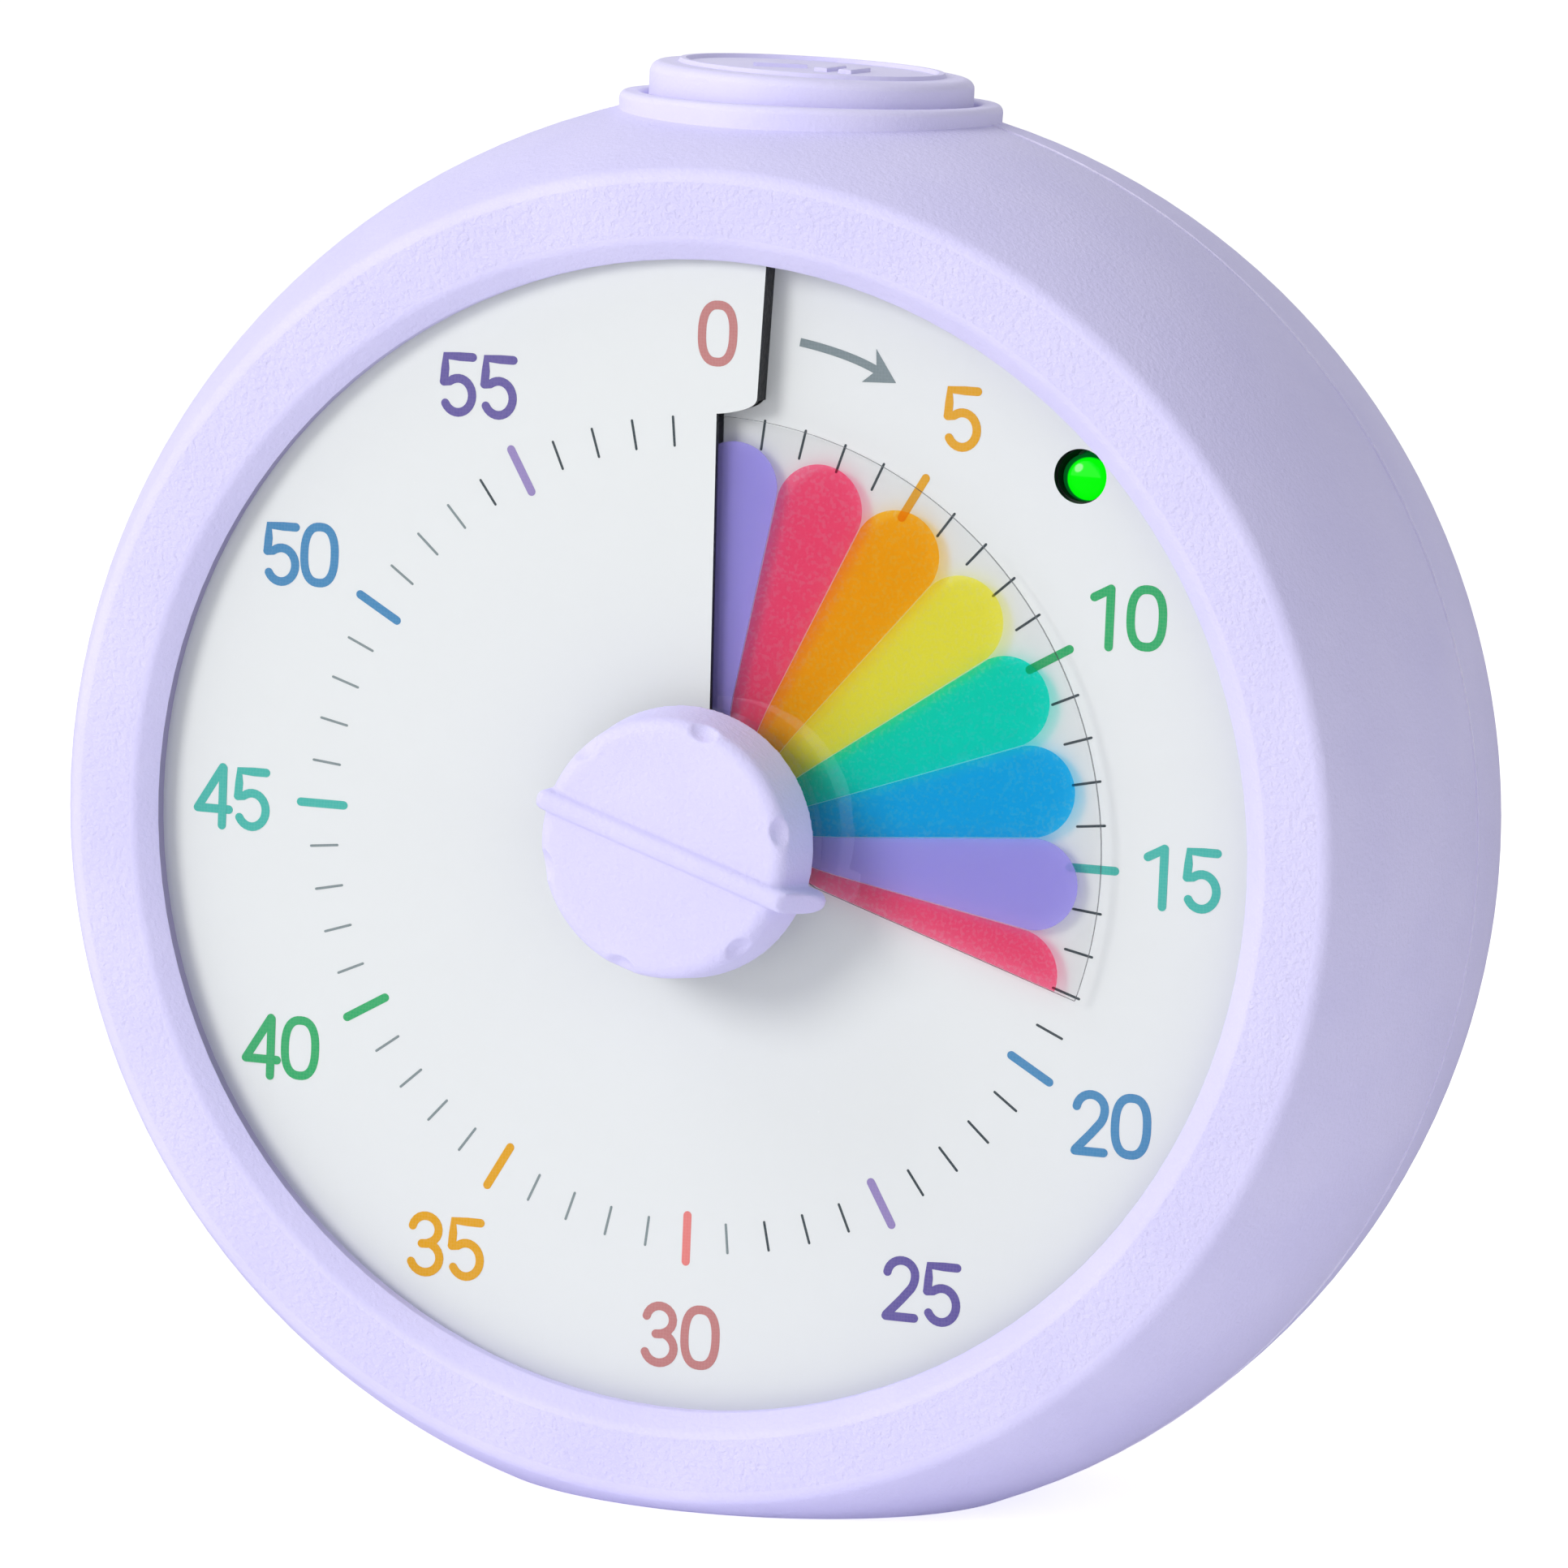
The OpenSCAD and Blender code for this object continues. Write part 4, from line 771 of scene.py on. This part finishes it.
def dial_print():
    """Numerals, minute marks and the arrow, as raised ink on the dial."""
    bm = bmesh.new()
    keys = list(INKS)
    for clock, ink, digits in NUMERALS:
        centre = clock_point(NUMERAL_R, clock) - Vector((0, NUMERAL_DROP.get(clock, 0), 0))
        for digit, shift in digits:
            for layer, (points, closed) in enumerate(DIGITS[digit]):
                known = set(bm.verts)
                places = [p + centre + Vector((shift, 0, 0)) for p in points]
                stroke(bm, places, INK_W, keys.index(ink), closed)
                on_ramp([v for v in bm.verts if v not in known], clock, layer * INK_LAYER)
    for minute in range(1, 60):
        clock = 6 * minute
        five = minute % 5 == 0
        inner, outer, width = LONG_MARK if five else SHORT_MARK
        ink = MARK_INKS[minute // 5 % 6] if five else "mist" if minute in FAINT_MINUTES else "slate"
        known = set(bm.verts)
        stroke(bm, [clock_point(inner, clock), clock_point(outer, clock)], width, keys.index(ink))
        on_ramp([v for v in bm.verts if v not in known], clock, 0)
    arrow(bm, keys.index("grey"))
    bmesh.ops.remove_doubles(bm, verts=bm.verts, dist=0.001)
    bmesh.ops.recalc_face_normals(bm, faces=bm.faces)
    bm.transform(DIAL_PLACE)
    return piece("dial_print", bm, "case", [INK[key] for key in keys], crease=60)


# The arrow: the arc of its shaft, how far the arc bends in at its end, and the corners of its head
ARROW_R = 37.17
ARROW_BEND = 0.2
ARROW_CLOCK = (8.85, 18.65)
ARROW_HALF = 0.315
ARROW_TIP = (13.25, 34.24)
ARROW_NOTCH = (11.71, 35.06)
ARROW_BARBS = ((11.63, 36.62), (10.62, 34.15))


def arrow(bm, index):
    """A short curved arrow that points clockwise, beside the slit."""
    known = set(bm.verts)
    first, last = ARROW_CLOCK
    shaft = []
    for share in [i / 10 for i in range(11)]:
        clock = first + (last - first) * share
        spot = clock_point(ARROW_R - ARROW_BEND * share ** 4, clock)
        shaft.append((spot, clock_point(1, clock + 90), ARROW_HALF))
    for end in ribbon(bm, shaft, INK_THICK, index):
        bm.faces.new(end).material_index = index
    for barb in ARROW_BARBS:
        wing = [bm.verts.new((x, y, -INK_THICK)) for x, y in (barb, ARROW_TIP, ARROW_NOTCH)]
        base = bm.faces.new(wing)
        made = bmesh.ops.extrude_face_region(bm, geom=[base])["geom"]
        top = [g for g in made if isinstance(g, bmesh.types.BMVert)]
        bmesh.ops.translate(bm, verts=top, vec=(0, 0, 2 * INK_THICK + INK_LAYER))
        for face in {f for v in wing + top for f in v.link_faces}:
            face.material_index = index
    on_ramp([v for v in bm.verts if v not in known], sum(ARROW_CLOCK) / 2, 0)


def slit_clock(r):
    """Clock angle at which the dial's slit lies, at a radius."""
    inner = SLIT_X + (JOG_R - r) * math.tan(math.radians(SLIT_LEAN))
    outer = TAB_X - (DIAL_R - r) * math.tan(math.radians(TAB_LEAN))
    share = min(1.0, max(0.0, (r - JOG_R) / JOG_W + 0.5))
    side = inner + (outer - inner) * (1 - (1 - share) ** JOG_BEND) ** JOG_CLIMB
    return math.degrees(math.asin(side / r))


def slit_line(r, part):
    """Turn of the dial's sheet at a radius: its lower end runs on a little way under the upper end."""
    return slit_clock(r) - (1 - part) * math.degrees(DIAL_LAP / r)


def spiral(radii, start, sweep, steps, offset, twist=None):
    """A one-turn ramped sheet: a radial line spun round the axis and lifted onto the spiral."""
    bm = bmesh.new()
    line = wire(bm, [(0, r, 0) for r in radii])
    bmesh.ops.spin(
        bm, geom=line, cent=(0, 0, 0), axis=(0, 0, -1), angle=math.radians(sweep), steps=steps,
        use_merge=False, use_duplicate=False,
    )
    for vert in bm.verts:
        r = math.hypot(vert.co.x, vert.co.y)
        share = math.degrees(math.atan2(vert.co.x, vert.co.y)) % 360
        if share > (sweep + 360) / 2:
            share -= 360
        clock = start + share + (twist(r, share / sweep) if twist else 0)
        vert.co = clock_point(r, clock)
        vert.co.z = ramp_z(clock) + offset
    bmesh.ops.recalc_face_normals(bm, faces=bm.faces)
    if sum(f.normal.z for f in bm.faces) < 0:
        bmesh.ops.reverse_faces(bm, faces=bm.faces)
    return bm


def dial_sheet():
    """The white spiral dial, with its slit, jog and lamp hole."""
    jog = [JOG_R + JOG_W * ((i / JOG_STEPS) ** 2 - 0.5) for i in range(JOG_STEPS + 1)]
    radii = [*DIAL_INNER_RINGS, *jog, *DIAL_OUTER_RINGS]
    bm = spiral(radii, 0, DIAL_SWEEP, DIAL_STEPS, 0, slit_line)
    bm.transform(DIAL_PLACE)
    # The sheet's cut edges take the near-black painted shade
    made = piece("dial_face", bm, "case", [SHEET, SLIT_EDGE_SHADE], ["dial_sheet"])
    thicken(made, DIAL_THICK)
    cutter = drill(HOLE_AT, LAMP_HOLE_R, DIAL_Z - DRILL_REACH, DIAL_Z + DRILL_REACH)
    hole = made.modifiers.new("Lamp hole", "BOOLEAN")
    hole.operation = "DIFFERENCE"
    hole.solver = "EXACT"
    hole.object = cutter
    settle(made)
    bpy.data.objects.remove(cutter)
    return made


def drill(at, r, z0, z1):
    """A round cutter on the dial's axis direction, to be removed after use."""
    bm = bmesh.new()
    bmesh.ops.create_cone(bm, cap_ends=True, segments=64, radius1=r, radius2=r, depth=z1 - z0)
    bmesh.ops.translate(bm, verts=bm.verts, vec=(at.x, at.y, (z0 + z1) / 2))
    for face in bm.faces:
        face.material_index = 1
    bm.transform(DIAL_PLACE)
    return mesh_object("cutter", bm)


def film():
    """The clear film and the petals printed on it."""
    bm = spiral(FILM_RINGS, FILM_LEAD - FILM_SWEEP, FILM_SWEEP, FILM_STEPS, FILM_FRONT)
    for vert in bm.verts:
        vert.co.z += film_lift(vert.co)
    bm.transform(DIAL_PLACE)
    sheet = piece("film_sheet", bm, "film", [CLEAR, CUT], ["film_disc"])
    thicken(sheet, FILM_THICK)
    settle(sheet)
    petals()


def film_lift(co):
    """Height by which the film stands clear of the dial, outside its flat middle under the knob."""
    near, far = FILM_LIFT_R
    return FILM_LIFT * min(1.0, max(0.0, (math.hypot(co.x, co.y) - near) / (far - near)))


def petals():
    """Rounded petals round the film, in six colours that repeat, cut off at the film's two ends."""
    bm = bmesh.new()
    widen = math.sin(math.radians(PETAL_PITCH / 2))
    tip = PETAL_ROUND - PETAL_GAP
    count = int(FILM_SWEEP // PETAL_PITCH) + 2
    for i in range(count):
        # Petals count backwards from the one that the film's leading edge cuts
        index = PETAL_LEAD - i
        ink = index % len(PETALS)
        centre = PETAL_EDGE + PETAL_PITCH * (index - 0.5)
        known = set(bm.verts)
        along = clock_point(1, centre)
        stations = []
        for step in range(PETAL_STEPS + 1):
            r = PETAL_FOOT_R + (PETAL_TIP_R - PETAL_FOOT_R) * step / PETAL_STEPS
            stations.append((along * r, along, r * widen - PETAL_GAP))
        for a in range(8, 90, 7):
            reach = PETAL_TIP_R + tip * math.sin(math.radians(a))
            stations.append((along * reach, along, tip * math.cos(math.radians(a))))
        for end in ribbon(bm, stations, PETAL_THICK, ink):
            bm.faces.new(end).material_index = ink
        mine = [v for v in bm.verts if v not in known]
        trim(bm, mine, centre)
        mine = [v for v in bm.verts if v not in known]
        on_ramp(mine, centre, FILM_FRONT - FILM_THICK - PETAL_BACK)
        for vert in mine:
            vert.co.z += film_lift(vert.co)
    bmesh.ops.recalc_face_normals(bm, faces=bm.faces)
    bm.transform(DIAL_PLACE)
    return piece("film_petals", bm, "film", PETAL_INK, crease=60)


def trim(bm, verts, centre):
    """Cuts a petal where the film's leading or trailing edge crosses it."""
    for edge, side in ((FILM_LEAD, 1), (FILM_LEAD - FILM_SWEEP, -1)):
        if abs(centre - edge) > PETAL_PITCH:
            continue
        faces = {f for v in verts if v.is_valid for f in v.link_faces}
        edges = {e for f in faces for e in f.edges}
        normal = clock_point(1, edge + 90) * side
        live = [v for v in verts if v.is_valid]
        cut = bmesh.ops.bisect_plane(
            bm, geom=live + list(edges) + list(faces), plane_co=(0, 0, 0), plane_no=normal, clear_outer=True,
        )["geom_cut"]
        loop = [g for g in cut if isinstance(g, bmesh.types.BMEdge)]
        if loop:
            bmesh.ops.holes_fill(bm, edges=loop)


def lamp():
    """A lit lamp lens with its rim, standing in the dial's hole, on two leads."""
    bm = bmesh.new()
    profile = [(0.0, LAMP_TIP_Z)]
    for a in map(math.radians, range(80, -1, -10)):
        profile.append((LAMP_DOME_R * math.cos(a), LAMP_TIP_Z - LAMP_DOME_H * (1 - math.sin(a))))
    back, front = LAMP_RIM_Z
    profile += [(LAMP_DOME_R, front), (LAMP_RIM_R, front), (LAMP_RIM_R, back), (0.0, back)]
    line = wire(bm, [(r, 0, z) for r, z in profile])
    bmesh.ops.spin(
        bm, geom=line, cent=(0, 0, 0), axis=(0, 0, 1), angle=2 * math.pi, steps=48, use_merge=True,
    )
    bmesh.ops.remove_doubles(bm, verts=bm.verts, dist=0.001)
    bmesh.ops.recalc_face_normals(bm, faces=bm.faces)
    for side in (-1, 1):
        lead = bmesh.ops.create_cone(
            bm, cap_ends=True, segments=12, radius1=LEAD_R, radius2=LEAD_R, depth=LEAD_L,
        )["verts"]
        bmesh.ops.translate(bm, verts=lead, vec=(side * LEAD_PITCH / 2, 0, LEAD_Z))
        for face in {f for v in lead for f in v.link_faces}:
            face.material_index = 1
    bmesh.ops.translate(bm, verts=bm.verts, vec=LENS_AT)
    bm.transform(DIAL_PLACE)
    return piece("lamp_lens", bm, "case", [LAMP, STEEL], ["status_lamp"], crease=40)


# Size of the cells that the knob's skin is rebuilt from
KNOB_VOXEL = 0.15


def knob():
    """The setting knob, with the soft edges of a moulding all over."""
    made = smooth_copy("knob", "setting_knob_moulding", "setting_knob", LAVENDER)
    skin = made.modifiers.new("Even skin", "REMESH")
    skin.mode = "VOXEL"
    skin.voxel_size = KNOB_VOXEL * MM
    soft = made.modifiers.new("Soft edges", "SMOOTH")
    soft.factor = 0.5
    soft.iterations = 3
    settle(made, 180)
    return made


# The raised sign on the cap: its height, the round of its edges, its outlines, and the section of its ring
MARK_H = 0.3
MARK_BEVEL = 0.1
MARKS = (
    ((-3.9, -2.2), (-3.9, 2.2), (-0.4, 0.0)),
    ((0.9, -2.2), (0.9, 2.2), (1.9, 2.2), (1.9, -2.2)),
    ((2.8, -2.2), (2.8, 2.2), (3.8, 2.2), (3.8, -2.2)),
)
MARK_RING = ((9.3, 0.0), (9.45, MARK_H), (9.85, MARK_H), (10.0, 0.0))


def button_mark():
    """A raised ring and a plain start and pause sign on the cap."""
    bm = bmesh.new()
    for outline in MARKS:
        face = bm.faces.new([bm.verts.new((x, y, -MARK_H)) for x, y in outline])
        made = bmesh.ops.extrude_face_region(bm, geom=[face])["geom"]
        top = [g for g in made if isinstance(g, bmesh.types.BMVert)]
        bmesh.ops.translate(bm, verts=top, vec=(0, 0, 2 * MARK_H))
        rim = [g for g in made if isinstance(g, bmesh.types.BMEdge)]
        bmesh.ops.bevel(
            bm, geom=rim, offset=MARK_BEVEL, segments=3, profile=0.5, affect="EDGES", material=-1,
        )
    section = [(r, 0, z) for r, z in MARK_RING]
    section += [(r, 0, -MARK_H) for r, z in (MARK_RING[-1], MARK_RING[0])]
    bmesh.ops.spin(
        bm, geom=wire(bm, section, True), cent=(0, 0, 0), axis=(0, 0, 1), angle=2 * math.pi, steps=96,
        use_merge=True,
    )
    bmesh.ops.recalc_face_normals(bm, faces=bm.faces)
    bmesh.ops.translate(bm, verts=bm.verts, vec=(0, PARTING_Y, AXIS_H + CAP_TOP_H))
    bmesh.ops.scale(bm, verts=bm.verts, vec=(MM, MM, MM))
    lean(bm.verts)
    return piece("button_mark", bm, "button", [CAP], crease=50)


# The case, the button and the rest of the model

front_case()
rear_case()
collar()
cap()
smooth_copy("battery_door", "door_moulding", "door", LAVENDER)
knob()
dial_sheet()
dial_print()
film()
lamp()
button_mark()

# Finishes of the nodes that are shown as they are
FINISHES = (
    (BLACK, ("switch_body", "dial_carrier", "controller_chip", "buzzer", "sound_slider")),
    (GREY, ("gearbox_cover", "chassis")),
    (ACETAL, ("switch_plunger", "film_hub", "drive_gear", "idler_gear")),
    (WASHER, ("hub_washer",)),
    (BRASS, ("arbor_bush", "motor_pinion")),
    (BOARD, ("main_board",)),
    (CELL, ("batteries",)),
    (STEEL, (
        "arbor", "clutch_spring", "retaining_clip", "idler_pin", "gear_motor", "slide_switch",
        "contact_springs", "contact_plates", "case_screws", "chassis_screws", "board_screws",
        "gearbox_screws",
    )),
)
for finish, names in FINISHES:
    for name in names:
        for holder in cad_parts[name].material_slots:
            holder.material = finish


# Floor, light and camera

# Half width of the floor and the reach of its glow, in metres, and how bright it looks, lights and mirrors
FLOOR_HALF = 6
FLOOR_REACH = (0.08, 0.4)
FLOOR_SEEN = 0.62
FLOOR_GLOW = (0.21, 0.12)
FLOOR_GLOSS = 0.06
# How strongly the white room lights the object
ROOM = 0.42
# Soft boxes: place, width in metres, power in watts and colour; all are turned to the dial's middle
LIGHT_AIM = (0, 0, 0.05)
LIGHTS = (
    ("key", (-0.6, -0.95, 0.48), 0.5, 6.55, "#FFFDF8"),
    ("top", (-0.6, -0.25, 1.0), 0.7, 3.0, "#FFFFFF"),
    ("fill", (0.7, -0.6, 0.35), 0.7, 0.7, "#FFFFFF"),
)
# The camera: its lens and sensor, and its place and directions
LENS = 235.92
SENSOR = 36.0
EYE_AT = (256.1, -715.53, 150.2)
EYE_AHEAD = (-0.3322, 0.9346, -0.127)
EYE_UP = (-0.0807, 0.106, 0.9911)


def sweep_floor():
    """A wide pale floor that the camera sees as white paper, and that keeps the object's soft shadow."""
    bm = bmesh.new()
    bmesh.ops.create_grid(bm, x_segments=2, y_segments=2, size=FLOOR_HALF)
    made = mesh_object("floor", bm)
    paper, tree, at = start("paper white, matte")
    path = add(tree, "LightPath")
    # The paper gives off a painted glow round the object, seen only in the light that bounces from it onto
    # the object
    reach = add(tree, "VectorMath", {0: at}, operation="LENGTH")
    glow = add(tree, "MapRange", {
        "Value": reach.outputs["Value"], "From Min": FLOOR_REACH[0], "From Max": FLOOR_REACH[1],
        "To Min": FLOOR_GLOW[0], "To Max": FLOOR_GLOW[1],
    }, interpolation_type="SMOOTHSTEP")
    bounce = add(tree, "Math", {
        0: path.outputs["Is Diffuse Ray"], 1: glow.outputs["Result"],
    }, operation="MULTIPLY")
    share = add(tree, "Math", {
        0: path.outputs["Is Camera Ray"], 1: FLOOR_SEEN, 2: bounce.outputs[0],
    }, operation="MULTIPLY_ADD")
    fibre = add(tree, "TexNoise", {"Vector": at, "Scale": 1 / (2 * MM)})
    rough = add(tree, "MapRange", {"Value": fibre.outputs["Fac"], "To Min": 0.8, "To Max": 0.9})
    matte = add(tree, "BsdfPrincipled", {
        "Base Color": linear("#F7F7F8"), "Roughness": rough.outputs["Result"],
    })
    white = add(tree, "Emission", {"Strength": share.outputs[0]})
    lit = add(tree, "AddShader", {0: matte.outputs[0], 1: white.outputs[0]})
    # In the object's gloss the floor in front is as dark as the room behind the camera
    dark = add(tree, "Emission", {"Strength": FLOOR_GLOSS})
    mixed = add(tree, "MixShader", {
        0: path.outputs["Is Glossy Ray"], 1: lit.outputs[0], 2: dark.outputs[0],
    })
    made.data.materials.append(close(paper, tree, mixed))


def studio_light(name, at, size, watts, code):
    """A round soft box, turned towards the object."""
    data = bpy.data.lights.new(name, "AREA")
    data.shape = "DISK"
    data.size = size
    data.energy = watts
    data.color = linear(code)[:3]
    made = bpy.data.objects.new(name, data)
    made.location = at
    made.rotation_euler = (Vector(LIGHT_AIM) - Vector(at)).to_track_quat("-Z", "Y").to_euler()
    bpy.context.scene.collection.objects.link(made)


def room_light(strength):
    """Even white surroundings: full white to the eye, and softer as light."""
    world = bpy.data.worlds.new("studio")
    bpy.context.scene.world = world
    world.use_nodes = True
    tree = world.node_tree
    tree.nodes.clear()
    path = add(tree, "LightPath")
    direct = add(tree, "Math", {
        0: path.outputs["Is Camera Ray"], 1: path.outputs["Is Glossy Ray"],
    }, operation="MAXIMUM")
    seen = add(tree, "Math", {
        0: direct.outputs[0], 1: path.outputs["Is Transmission Ray"],
    }, operation="MAXIMUM")
    level = add(tree, "MapRange", {"Value": seen.outputs[0], "To Min": strength, "To Max": 1.0})
    glow = add(tree, "Background", {"Color": (1, 1, 1, 1), "Strength": level.outputs["Result"]})
    add(tree, "OutputWorld", {"Surface": glow.outputs[0]})


def camera():
    """The photograph's viewpoint: its place, direction and lens, found from the dial's marks."""
    data = bpy.data.cameras.new("camera")
    data.lens = LENS
    data.sensor_width = SENSOR
    data.clip_start = 0.01
    data.clip_end = 30.0
    made = bpy.data.objects.new("camera", data)
    ahead = Vector(EYE_AHEAD).normalized()
    right = ahead.cross(Vector(EYE_UP)).normalized()
    turn = Matrix((right, right.cross(ahead), -ahead)).transposed().to_4x4()
    made.matrix_world = Matrix.Translation(Vector(EYE_AT) * MM) @ turn
    bpy.context.scene.collection.objects.link(made)
    bpy.context.scene.camera = made


bpy.context.scene.view_settings.view_transform = "Standard"
sweep_floor()
room_light(ROOM)
for light in LIGHTS:
    studio_light(*light)
camera()
